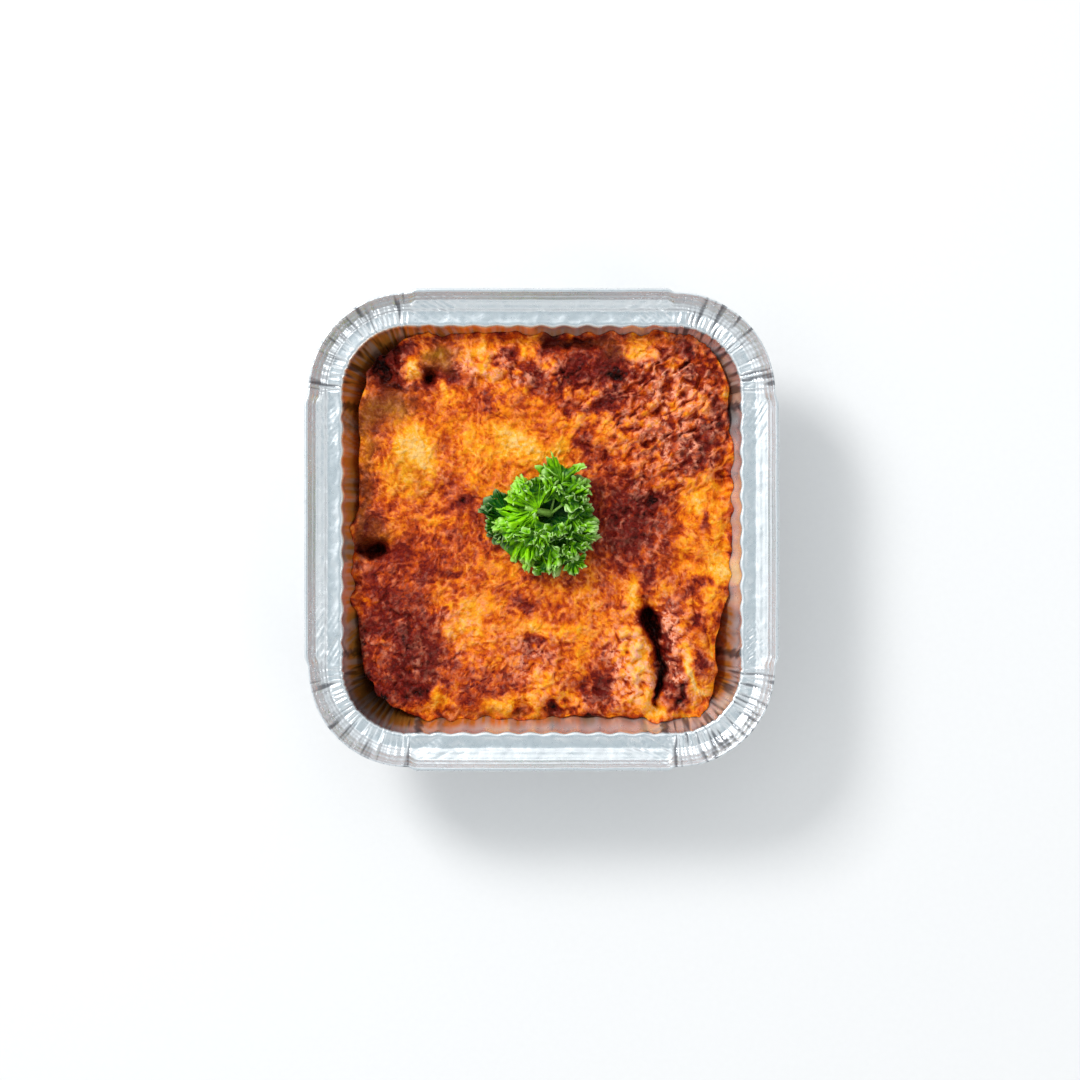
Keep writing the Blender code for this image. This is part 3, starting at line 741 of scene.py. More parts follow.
def tray_section():
    """The tray's section from the floor inside to the floor outside. Each key has the
    offset on a side, the offset in a corner, the height, and the shares of wall ripple,
    shelf dents and rim wobble."""
    across = FOIL * math.sqrt(1.0 + WALL_SLOPE ** 2)
    low_z = HEM_TOP_Z - HEM_DEPTH
    corner_width = HEM_WIDTH * 0.62

    def even(offset, height, ripple=0.0, dent=0.0):
        return (offset, offset, height, ripple, dent, 0.0)

    def wall(height, shift, ripple):
        return even(wall_offset(height) + shift, height, ripple)

    # The flange rises in small steps, each a crease along the side: offset on a side,
    # offset in a corner and height, in millimetres
    steps = (
        (7.5, 6.5, 38.15), (8.5, 7.0, 38.35), (8.75, 7.9, 39.4), (9.55, 8.3, 39.65),
        (9.75, 9.1, 40.6), (10.15, 9.35, 40.75),
    )
    inner = [
        even(FLOOR_OFFSET - 0.8 * MM, FOIL),
        even(FLOOR_OFFSET, FOIL),
        wall(WALL_FOOT_Z, 0.0, 0.6),
    ]
    inner += [wall(z * MM, 0.0, 1.0) for z in (9.0, 17.0, 23.0, 27.0, 30.0, 32.5, 35.2)]
    inner += [
        even(WALL_TOP_OFFSET + 0.1 * MM, SHELF_Z - 0.2 * MM, 0.7),
        even(0.55 * MM, SHELF_Z + 0.2 * MM, 0.4, 0.3),
        even(1.5 * MM, SHELF_Z + 0.05 * MM, 0.3, 0.9),
        even(3.0 * MM, SHELF_Z - 0.05 * MM, 0.1, 1.0),
        (SHELF_END_OFFSET - 0.1 * MM, SHELF_END_OFFSET, SHELF_Z - 0.05 * MM, 0.0, 0.8, 0.0),
        (SHELF_END_OFFSET + 0.6 * MM, SHELF_END_OFFSET + 0.5 * MM, SHELF_Z + 0.5 * MM, 0.0,
         0.6, 0.2),
        (SLOPE_END_OFFSET - 0.8 * MM, SLOPE_END_OFFSET - 1.4 * MM, SLOPE_END_Z - 0.25 * MM,
         0.0, 0.6, 0.6),
    ]
    inner += [(side * MM, corner * MM, z * MM, 0.0, 0.4, 1.0) for side, corner, z in steps]
    # The hem is rolled over from inside to outside: shares of its width on a side and in a
    # corner, and height
    rolled = (
        (1.0, 1.0, HEM_TOP_Z - 0.15 * MM), (0.7, 0.7, HEM_TOP_Z), (0.3, 0.4, HEM_TOP_Z),
        (0.0, 0.0, HEM_TOP_Z - HEM_DEPTH * 0.3), (0.0, 0.0, HEM_TOP_Z - HEM_DEPTH * 0.75),
        (0.5, 0.5, low_z),
    )
    hem = [(HEM_OFFSET - HEM_WIDTH * side, HEM_CORNER_OFFSET - corner_width * corner, height,
            0.0, 0.0, 1.0) for side, corner, height in rolled]
    hem.append((HEM_OFFSET - HEM_WIDTH + FOIL, HEM_CORNER_OFFSET - corner_width + FOIL * 0.6,
                low_z + 0.1 * MM, 0.0, 0.0, 1.0))
    outer = [
        (SLOPE_END_OFFSET + 1.2 * MM, SLOPE_END_OFFSET + 0.6 * MM, SLOPE_END_Z - FOIL, 0.0,
         0.3, 0.8),
        even(SHELF_END_OFFSET, SHELF_Z - FOIL - 0.05 * MM, 0.0, 0.8),
        even(2.6 * MM, SHELF_Z - FOIL - 0.05 * MM, 0.15, 1.0),
        even(WALL_TOP_OFFSET + across + 0.4 * MM, SHELF_Z - FOIL * 1.3, 0.8, 0.4),
    ]
    outer += [wall(z * MM, across, 1.0) for z in (34.5, 27.0, 18.0, 9.0)]
    outer += [
        even(WALL_FOOT_OFFSET + across, WALL_FOOT_Z - FOIL, 0.6),
        even(FLOOR_OFFSET + FOIL, 0.0),
        even(FLOOR_OFFSET - 0.8 * MM, 0.0),
    ]
    return np.concatenate([rounded_section(inner + hem), np.array(outer)])


def make_piece(name, points, faces, material, node, attributes=None):
    """A mesh object at the origin that stands for a solid and rides on its body."""
    mesh = bpy.data.meshes.new(name)
    mesh.vertices.add(len(points))
    mesh.vertices.foreach_set("co", np.ascontiguousarray(points, dtype=np.float32).ravel())
    corners = faces.shape[1]
    mesh.loops.add(faces.size)
    mesh.loops.foreach_set("vertex_index", faces.astype(np.int32).ravel())
    mesh.polygons.add(len(faces))
    starts = np.arange(len(faces), dtype=np.int32) * corners
    mesh.polygons.foreach_set("loop_start", starts)
    for label, values in (attributes or {}).items():
        layer = mesh.attributes.new(label, "FLOAT", "POINT")
        layer.data.foreach_set("value", np.ascontiguousarray(values, dtype=np.float32))
    mesh.update(calc_edges=True)
    mesh.validate()
    mesh.shade_smooth()
    mesh.materials.append(material)
    piece = bpy.data.objects.new(name, mesh)
    bpy.context.scene.collection.objects.link(piece)
    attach(piece, "root")
    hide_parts(node)
    return piece


def ring_faces(count, lines):
    """Triangles between the lines of a closed band of stations, station by station."""
    station, line = np.meshgrid(np.arange(count), np.arange(lines - 1), indexing="ij")
    onward = (station + 1) % count
    a = (station * lines + line).ravel()
    b = (onward * lines + line).ravel()
    return np.concatenate([np.stack([a, a + 1, b + 1], 1), np.stack([a, b + 1, b], 1)])


def foil_material(settings):
    """Aluminium foil, rolled thin, greased and pressed in a die. Bare metal with a soft
    gloss, fine crinkles and faint rolling lines; baked-on fat dulls and tints it where the
    food has bubbled up the wall, more on the left as painted shade, and painted shade darkens
    its tight folds and pleats, with a painted shadow in the gap at the lower left."""
    material, tree, shader = start_material("pressed_aluminium_foil")
    place = object_place(tree)
    fat_stain_and_shade = point_value(tree, "fat_stain_and_shade")
    # Crinkles about 1.6 mm across, as pressed foil has where it is not drawn tight
    crinkle = add_node(tree, "ShaderNodeTexNoise", {
        "Vector": place, "Scale": 1.0 / (1.6 * MM), "Detail": 3.0, "Roughness": 0.55})
    # Rolling lines, drawn 0.5 mm apart; the real ones are too fine to show
    stretched = add_node(tree, "ShaderNodeMapping", {
        "Vector": place, "Scale": (1.0, 0.04, 1.0)})
    lines = add_node(tree, "ShaderNodeTexNoise", {
        "Vector": stretched.outputs["Vector"], "Scale": 1.0 / (0.5 * MM), "Detail": 2.0})
    greased = mix_colours(tree, fat_stain_and_shade, settings.foil, settings.grease)
    # Painted shade: the crease share darkens the foil in its folds and pleats, and paints a
    # shadow in the gap at the lower left
    colour = mix_colours(tree, point_value(tree, "crease"), greased, settings.crease, "MULTIPLY")
    roughness = move_range(tree, crinkle.outputs["Fac"], 0.0, 1.0, 0.2, 0.38)
    dulled = add_node(tree, "ShaderNodeMath", {0: fat_stain_and_shade, 1: 0.16, 2: roughness},
                      operation="MULTIPLY_ADD")
    fine = add_node(tree, "ShaderNodeBump", {
        "Height": lines.outputs["Fac"], "Distance": 0.006 * MM, "Strength": 0.6})
    bump = add_node(tree, "ShaderNodeBump", {
        "Height": crinkle.outputs["Fac"], "Distance": 0.10 * MM, "Strength": 0.7,
        "Normal": fine.outputs["Normal"]})
    # Countless fine scratches from the die scatter part of the light as a matt surface
    # would, and steam and fat dull the wall more than the shelf
    height = add_node(tree, "ShaderNodeSeparateXYZ", {"Vector": place}).outputs["Z"]
    bare = move_range(tree, height, WALL_TOP_Z - 3.0 * MM, SHELF_Z, 0.66, 0.88)
    tree.links.new(bare, shader.inputs["Metallic"])
    tree.links.new(colour, shader.inputs["Base Color"])
    tree.links.new(dulled.outputs[0], shader.inputs["Roughness"])
    tree.links.new(bump.outputs["Normal"], shader.inputs["Normal"])
    return material


def fat_and_pleat_shade_streaks(core, normal, lines, to_corner, depth):
    """How strongly each line down the wall is streaked with fat, from 0.6 to 1.1: noise along
    the wall's length, whose streaks lean away from the corners with depth as the pleats do. The
    streaks also paint the light and shade of the pleats."""
    line = core + normal * OPENING_RADIUS
    length = np.append(0.0, np.cumsum(np.hypot(*np.diff(line, axis=0).T)))
    side_place = np.repeat(core[:, 1] * normal[:, 0] - core[:, 0] * normal[:, 1], lines)
    lean = smooth_step(to_corner, 0.0, 10.0 * MM) * np.sign(side_place)
    lean = lean * (1.0 - smooth_step(to_corner, 10.0 * MM, 26.0 * MM))
    fat_and_pleat_shade_streak = lattice_noise(np.repeat(length, lines) + 0.3 * depth * lean, 0.05 * depth,
                           1.5 * MM, 60)
    return 0.6 + 0.5 * smooth_step(fat_and_pleat_shade_streak, -0.45, 0.35)


def wall_fat(x, y, z):
    """Fat on the wall from 0 to 1: full at the food's edge and gone 7.5 mm above it. It reaches
    higher and is stronger towards the left, as painted shade of the wall on the side away from
    the key light, and it is full in the crust's gaps."""
    # Painted shade: more fat, reaching higher, on the left, the side of the wall away from the
    # key light
    fat_and_shade_to_left = smooth_step(-x, -75.0 * MM, 30.0 * MM)
    above_food = z - crust_level(x, y) - 3.5 * MM * fat_and_shade_to_left
    in_gap = smooth_step(edge_gap(x, y), 0.6 * MM, 2.0 * MM)
    amount = np.maximum(0.04 + 0.96 * fat_and_shade_to_left, in_gap)
    return amount * (1.0 - smooth_step(above_food, 0.5 * MM, 7.5 * MM))


def build_tray(settings):
    """The tray as one closed band: each station carries the rounded section outwards along
    its normal, moved by the wall's ripple, by dents and slanting folds in the shelf, by
    radial crimps in the corners and by a wobble of the rim. It carries two shares: one of fat
    on the inner wall, stronger to the left and streaked along the pleats as painted shade, and
    crease, of painted shade in tight folds and pleats and of a painted shadow in the gap at the
    lower left."""
    per_side, per_corner = 160, 190
    # The section's first lines, from the floor up to the top of the wall
    wall_lines = 22
    core, normal, corner = tray_stations(per_side, per_corner)
    section = tray_section()
    count, lines = len(core), len(section)
    core_all = np.repeat(core, lines, axis=0)
    normal_all = np.repeat(normal, lines, axis=0)
    corner_all = np.repeat(corner, lines)
    side_offset, corner_offset, height, ripple, dent, wobble = (
        np.tile(section[:, column], count) for column in range(6))
    offset = side_offset * (1.0 - corner_all) + corner_offset * corner_all
    rippled = wall_ripple(core_all, normal_all, height, settings)
    offset = offset + ripple * rippled

    # Crimps round the corners, and the dents and folds of the shelf near them
    angle = np.arctan2(normal_all[:, 1], normal_all[:, 0])
    arc = angle * (OPENING_RADIUS + SHELF_END_OFFSET)
    spot = core_all + normal_all * (OPENING_RADIUS + offset)[:, None]
    round_corner = smooth_step(corner_all, 0.85, 1.0)
    radial = lattice_noise(arc, offset * 0.12, 0.95 * MM, 51)
    radial = radial + 2.2 * ridge_noise(arc, offset * 0.07, 1.9 * MM, 52) - 1.1
    radial = radial * (0.7 + 0.5 * lattice_noise(arc, offset, 5.0 * MM, 57))
    # Painted shade in the valleys of the corner crimps
    crease = 0.9 * smooth_step(-radial, 0.1, 0.9) * round_corner * (ripple < 0.5)
    pressed = 1.3 * lattice_noise(spot[:, 0], spot[:, 1], 6.0 * MM, 53)
    pressed = pressed + 0.5 * lattice_noise(spot[:, 0], spot[:, 1], 2.2 * MM, 54)
    on_x_side = np.abs(normal_all[:, 0]) > np.abs(normal_all[:, 1])
    to_corner = np.where(on_x_side, CORE_Y - np.abs(core_all[:, 1]),
                         CORE_X - np.abs(core_all[:, 0]))
    slant = to_corner + 1.7 * offset + 9.0 * MM * np.sign(spot[:, 0]) + np.sign(spot[:, 1])
    fans = ridge_noise(slant, offset * 0.3 + to_corner * 0.12, 2.6 * MM, 58) - 0.45
    fans = 2.4 * fans * (1.0 - smooth_step(to_corner, 8.0 * MM, 24.0 * MM))
    fans = fans * (round_corner <= 0.0)
    # Painted shade of the wall's pleats, a painted shadow in the gap at the lower left, and
    # streaks of fat that also paint the light and shade of the pleats
    fat_and_pleat_shade_streak = fat_and_pleat_shade_streaks(core, normal, lines, to_corner, WALL_TOP_Z - height)
    pleat = smooth_step(-rippled, -0.1 * settings.pleat_depth, 0.7 * settings.pleat_depth)
    near_corner = 1.0 - smooth_step(to_corner, 4.0 * MM, 16.0 * MM)
    crease = np.maximum(crease, pleat * near_corner * (ripple > 0.5))
    # Painted shadow on the wall in the deep gap at the lower left
    burnt = (ripple > 0.5) * patch_sum(spot[:, 0], spot[:, 1], SHADOW_PAINTED_ON_WALL)
    crease = np.maximum(crease, 1.2 * np.clip(burnt, 0.0, 0.83))
    rise = dent * settings.dent_depth * (pressed * (1.0 - 0.5 * round_corner) + fans
                                         + 1.6 * radial * round_corner)
    # The rim only wobbles inwards and down, and its crimps end 1 mm before the hem's edge
    crimps = 0.30 * MM * radial * round_corner
    bend = np.abs(0.16 * MM * lattice_noise(spot[:, 0], spot[:, 1], 17.0 * MM, 56))
    free = np.clip(1.0 - (offset - HEM_CORNER_OFFSET + 1.0 * MM) / (1.0 * MM), 0.0, 1.0)
    rise = rise + wobble * crimps * free
    inward = wobble * (bend + 0.10 * MM * (1.0 - free) * round_corner)
    offset = offset - inward + wobble * crimps * free * 0.8
    height = np.minimum(height + rise - wobble * bend * 0.6, HEM_TOP_Z)
    height = np.where(np.tile(section[:, 2], count) <= 0.0, 0.0, height)

    spot = core_all + normal_all * (OPENING_RADIUS + offset)[:, None]
    points = np.concatenate([spot, height[:, None]], axis=1)
    faces = ring_faces(count, lines)
    inside = len(points)
    points = np.concatenate([points, [(0.0, 0.0, FOIL), (0.0, 0.0, 0.0)]])
    first = np.arange(count) * lines
    onward = np.roll(first, -1)
    floor = np.stack([np.full(count, inside), first, onward], 1)
    base = np.stack([np.full(count, inside + 1), onward + lines - 1, first + lines - 1], 1)
    faces = np.concatenate([faces, floor, base])

    on_wall = np.arange(len(points)) % lines < wall_lines
    fat_stain_and_shade = on_wall * wall_fat(points[:, 0], points[:, 1], points[:, 2])
    # Streaks of fat that also paint the light and shade of the pleats
    fat_stain_and_shade = np.clip(fat_stain_and_shade * np.append(fat_and_pleat_shade_streak, (0.0, 0.0)), 0.0, 1.0)
    return make_piece("foil_tray", points, faces, foil_material(settings), "tray",
                      {"fat_stain_and_shade": fat_stain_and_shade, "crease": np.append(crease, (0.0, 0.0))})


def shred_crests(x, y, width, length, seed):
    """Crests of melted shreds from 0 to 1: noise drawn out along three directions, each
    with sharp crests and kept to its own areas; the highest of the three counts."""
    highest = np.zeros(np.shape(x))
    for number, turn in enumerate(np.radians((25.0, 85.0, 150.0))):
        along = (x * math.cos(turn) + y * math.sin(turn)) / length
        across = (y * math.cos(turn) - x * math.sin(turn)) / width
        crest = np.clip(1.0 - 2.4 * np.abs(lattice_noise(along, across, 1.0, seed + number)),
                        0.0, 1.0)
        area = smooth_step(lattice_noise(x, y, 3.2 * length, seed + 10 + number), -0.35, 0.25)
        highest = np.maximum(highest, crest * area)
    return highest


def crust_detail(x, y, settings):
    """Fine relief on the crust's level, with the shares that colour it: lumps, crumbs and
    slanting torn ridges in the rough zones, blisters in the melted parts, melted shreds
    everywhere, and the ragged bottom of the furrow."""
    rough = patch_sum(x, y, ROUGH_ZONES)
    rough = np.clip(rough + 0.3 * lattice_noise(x, y, 8.0 * MM, 60), 0.12, 1.0)
    warp_x = x + 1.2 * MM * lattice_noise(x, y, 3.4 * MM, 61)
    warp_y = y + 1.2 * MM * lattice_noise(x, y, 3.4 * MM, 62)
    turn = math.radians(38.0)
    along = (warp_x * math.cos(turn) + warp_y * math.sin(turn)) * 0.26
    across = warp_y * math.cos(turn) - warp_x * math.sin(turn)
    torn = ridge_noise(along, across, 2.5 * MM, 63) - 0.45
    torn_zone = patch_sum(x, y, TORN_ZONE, 2.0)
    lumps, lump_share = cell_domes(warp_x, warp_y, 4.6 * MM, 69, 0.7)
    crumbs, crumb_share = cell_domes(warp_x, warp_y, 1.8 * MM, 64)
    small_crumbs, small_share = cell_domes(warp_x, warp_y, 1.15 * MM, 65)
    blisters, blister_share = cell_domes(warp_x, warp_y, 3.4 * MM, 66, 0.6)
    shreds = shred_crests(warp_x, warp_y, 1.7 * MM, 4.4 * MM, 80)
    rolls = lattice_noise(warp_x, warp_y, 3.3 * MM, 68)
    ripples = lattice_noise(warp_x, warp_y, 1.8 * MM, 76)
    holes = patch_sum(warp_x, warp_y, HOLES, 1.2)
    holes = holes * (0.85 + 0.6 * lattice_noise(x, y, 2.2 * MM, 67))
    coarse = (2.2 * MM * rough * (lumps - 0.35)
              + 2.0 * MM * torn_zone * torn
              + 0.9 * MM * rolls * (0.3 + 0.8 * rough)
              + settings.blister_height * (1.0 - rough) * (blisters - 0.2)
              - holes * MM)
    fine = (settings.crumb_height * (0.25 + 0.75 * rough) * (crumbs + 0.5 * small_crumbs - 0.6)
            + 0.42 * MM * (1.1 - 0.5 * rough) * (shreds - 0.3)
            + 0.32 * MM * ripples)
    tint = (0.45 * crumb_share + 0.3 * small_share + 0.35 * lump_share * rough
            + 0.35 * blister_share * (1.0 - rough))
    # The furrow has its steeper bank on the right
    cut = np.array(FURROW_CUT)
    middle, width = (np.interp(-y / MM, -cut[:, 1], cut[:, column]) for column in (0, 2))
    width = width * (1.0 + 0.35 * lattice_noise(x, y, 4.0 * MM, 77))
    width = width * (1.0 + 0.4 * smooth_step(middle - x / MM, -0.5, 1.5))
    furrow = distance_to_line(warp_x / MM, warp_y / MM, cut[:, :2]) / width
    coarse = coarse - 3.2 * MM * np.exp(-np.abs(furrow) ** 2.5)
    return {"coarse": coarse, "fine": fine, "rough": rough, "shreds": shreds, "tint": tint,
            "furrow": furrow, "holes": holes}


def crust_toast(x, y, detail, settings):
    """Browning from 0, pale cheese, to 1, burnt, with crispness and wetness from 0 to 1.
    Browning is a middle level and listed patches with frayed edges, some of them painted shadow,
    mottled at several sizes and from crumb to crumb, with painted shade between the bits, more in
    the rough zones, and less on shreds; crispness, with a painted pinkish highlight, is on their
    tops, and the wetness of thin sauce in its own patches."""
    coarse, fine, rough = detail["coarse"], detail["fine"], detail["rough"]
    frayed_x = (x + 2.6 * MM * lattice_noise(x, y, 6.0 * MM, 70)
                + 0.8 * MM * lattice_noise(x, y, 2.3 * MM, 78))
    frayed_y = (y + 2.6 * MM * lattice_noise(x, y, 6.0 * MM, 71)
                + 0.8 * MM * lattice_noise(x, y, 2.3 * MM, 79))
    # Patches, and mottling from large to small
    broken = 1.0 + 0.5 * lattice_noise(frayed_x, frayed_y, 3.2 * MM, 81)
    toast = TOAST_LEVEL + settings.toast * patch_sum(frayed_x, frayed_y, TOAST_AND_SHADOW_PATCHES) * broken
    toast = toast - patch_sum(frayed_x, frayed_y, PALE_PATCHES)
    toast = toast + 0.16 * lattice_noise(x, y, 9.0 * MM, 72)
    toast = toast + (0.08 + 0.06 * rough) * lattice_noise(frayed_x, frayed_y, 3.8 * MM, 73)
    toast = toast + (0.035 + 0.035 * rough) * lattice_noise(x, y, 1.6 * MM, 74)
    toast = toast + (0.07 + 0.10 * rough) * detail["tint"]
    # Darker in flecks, painted shade between the bits, paler on shreds
    flecks = np.clip(ridge_noise(frayed_x, frayed_y, 5.0 * MM, 75) - 0.55, 0.0, 1.0)
    toast = toast + (0.10 + 0.16 * rough) * flecks
    # Painted shade: the deeper a point lies between the bits, the browner it is made
    depth = np.clip(-(0.4 * coarse + fine) / (0.5 * MM), -1.0, 1.0)
    toast = toast + (0.08 + 0.10 * rough) * depth
    toast = toast - 0.10 * (detail["shreds"] - 0.2) * (1.0 - rough)
    # A little more contrast, with the darkest parts held back before holes are burnt in
    toast = toast + 0.12 * (toast - 0.48)
    toast = np.minimum(toast, 0.72 + 0.3 * (toast - 0.72))
    # Darker in the furrow, partly as dark sauce and partly as painted shade, and in the holes,
    # partly burnt and partly painted shade in their depths
    toast = toast + 0.26 * np.exp(-(detail["furrow"] / 1.3) ** 2)
    toast = toast + 0.18 * np.exp(-(detail["furrow"] / 0.8) ** 4)
    toast = toast + 0.12 * smooth_step(detail["holes"], 0.1, 1.0)
    toast = toast + 0.34 * smooth_step(detail["holes"], 1.0, 2.4)
    # Painted pinkish highlight, with dry crispness, on the tops of rough bits, but not where they
    # are burnt
    crisp_highlight_zone = np.clip(0.33 + patch_sum(frayed_x, frayed_y, CRISP_HIGHLIGHT_PATCHES), 0.0, 1.0)
    crisp_highlight = smooth_step(fine + 0.25 * coarse + 0.35 * MM * crisp_highlight_zone, 0.05 * MM, 0.45 * MM)
    crisp_highlight = crisp_highlight * smooth_step(lattice_noise(x, y, 2.6 * MM, 82), -0.7, 0.3)
    crisp_highlight = crisp_highlight * crisp_highlight_zone * np.clip(0.35 + rough, 0.0, 1.0)
    crisp_highlight = crisp_highlight * (1.0 - 0.85 * smooth_step(toast, 0.62, 0.85))
    sauce = patch_sum(frayed_x, frayed_y, SAUCE_PATCHES)
    return np.clip(toast, 0.0, 1.0), crisp_highlight, np.clip(sauce, 0.0, 1.0)


def crust_material(settings):
    """Grated cheese, melted and browned in an oven over a sauced bake. Oily and soft where
    it is pale, and matter, with crisped tops that carry pinkish-tan painted highlights, where it
    has browned."""
    material, tree, shader = start_material("browned_melted_cheese")
    place = object_place(tree)
    # Mottling finer than the mesh: grains 0.95 mm and flecks 0.7 mm across
    grains = add_node(tree, "ShaderNodeTexVoronoi", {
        "Vector": place, "Scale": 1.0 / (0.95 * MM), "Randomness": 1.0}, feature="F1")
    flecks = add_node(tree, "ShaderNodeTexNoise", {
        "Vector": place, "Scale": 1.0 / (0.7 * MM), "Detail": 3.0, "Roughness": 0.55})
    lot = add_node(tree, "ShaderNodeSeparateColor", {"Color": grains.outputs["Color"]})
    both = add_node(tree, "ShaderNodeMath", {
        0: lot.outputs["Red"], 1: flecks.outputs["Fac"]}, operation="ADD")
    shift = move_range(tree, both.outputs[0], 0.4, 1.6, -0.09, 0.09)
    level = add_node(tree, "ShaderNodeMath", {0: point_value(tree, "toast"), 1: shift},
                     operation="ADD", use_clamp=True).outputs[0]
    cheese = colour_ramp(tree, level, (
        (0.0, settings.cream),
        (0.18, settings.gold),
        (0.38, settings.amber),
        (0.56, settings.russet),
        (0.76, settings.umber),
        (1.0, settings.char),
    ))
    sauce = mix_colours(tree, level, settings.sauce, settings.umber)
    wet = mix_colours(tree, point_value(tree, "sauce"), cheese, sauce)
    # Painted highlight: some grains take the pinkish tan, as dried grains would, and their
    # neighbours do not
    highlit_grains = move_range(tree, lot.outputs["Green"], 0.25, 0.75, 0.2, 1.15)
    tan = add_node(tree, "ShaderNodeMath", {0: point_value(tree, "crisp_highlight"), 1: highlit_grains},
                   operation="MULTIPLY", use_clamp=True)
    colour = mix_colours(tree, tan.outputs[0], wet, settings.tan)
    tree.links.new(colour, shader.inputs["Base Color"])
    gloss = move_range(tree, level, 0.1, 0.8, 0.24, 0.36)
    tree.links.new(gloss, shader.inputs["Roughness"])
    grained = add_node(tree, "ShaderNodeBump", {
        "Height": grains.outputs["Distance"], "Distance": 0.3 * MM, "Strength": 0.7},
        invert=True)
    bump = add_node(tree, "ShaderNodeBump", {
        "Height": flecks.outputs["Fac"], "Distance": 0.25 * MM, "Strength": 0.6,
        "Normal": grained.outputs["Normal"]})
    tree.links.new(bump.outputs["Normal"], shader.inputs["Normal"])
    shader.inputs["IOR"].default_value = 1.4
    shader.inputs["Specular IOR Level"].default_value = 0.1
    shader.inputs["Subsurface Weight"].default_value = 0.1
    shader.inputs["Subsurface Radius"].default_value = (1.0, 0.4, 0.1)
    shader.inputs["Subsurface Scale"].default_value = 1.0 * MM
    return material


def grid_cells(index):
    """The corners of each cell of a grid of point numbers, and the ring of points round it."""
    cells = (index[:-1, :-1], index[:-1, 1:], index[1:, 1:], index[1:, :-1])
    ring = np.concatenate([index[0, :-1], index[:-1, -1], index[-1, :0:-1], index[:0:-1, 0]])
    return *(corner.ravel() for corner in cells), ring


def split_sheet(steps):
    """Triangles of a square sheet of cells, each cell split along the line that points to
    the sheet's middle, and the ring of points round the sheet."""
    row = steps + 1
    a, b, c, d, ring = grid_cells(np.arange(row * row).reshape(row, row))
    i, j = np.meshgrid(np.arange(steps), np.arange(steps), indexing="xy")
    falling = ((i < steps / 2) != (j < steps / 2)).ravel()
    rising = ~falling
    faces = np.concatenate([
        np.stack([a[rising], b[rising], c[rising]], 1),
        np.stack([a[rising], c[rising], d[rising]], 1),
        np.stack([a[falling], b[falling], d[falling]], 1),
        np.stack([b[falling], c[falling], d[falling]], 1),
    ])
    return faces, ring


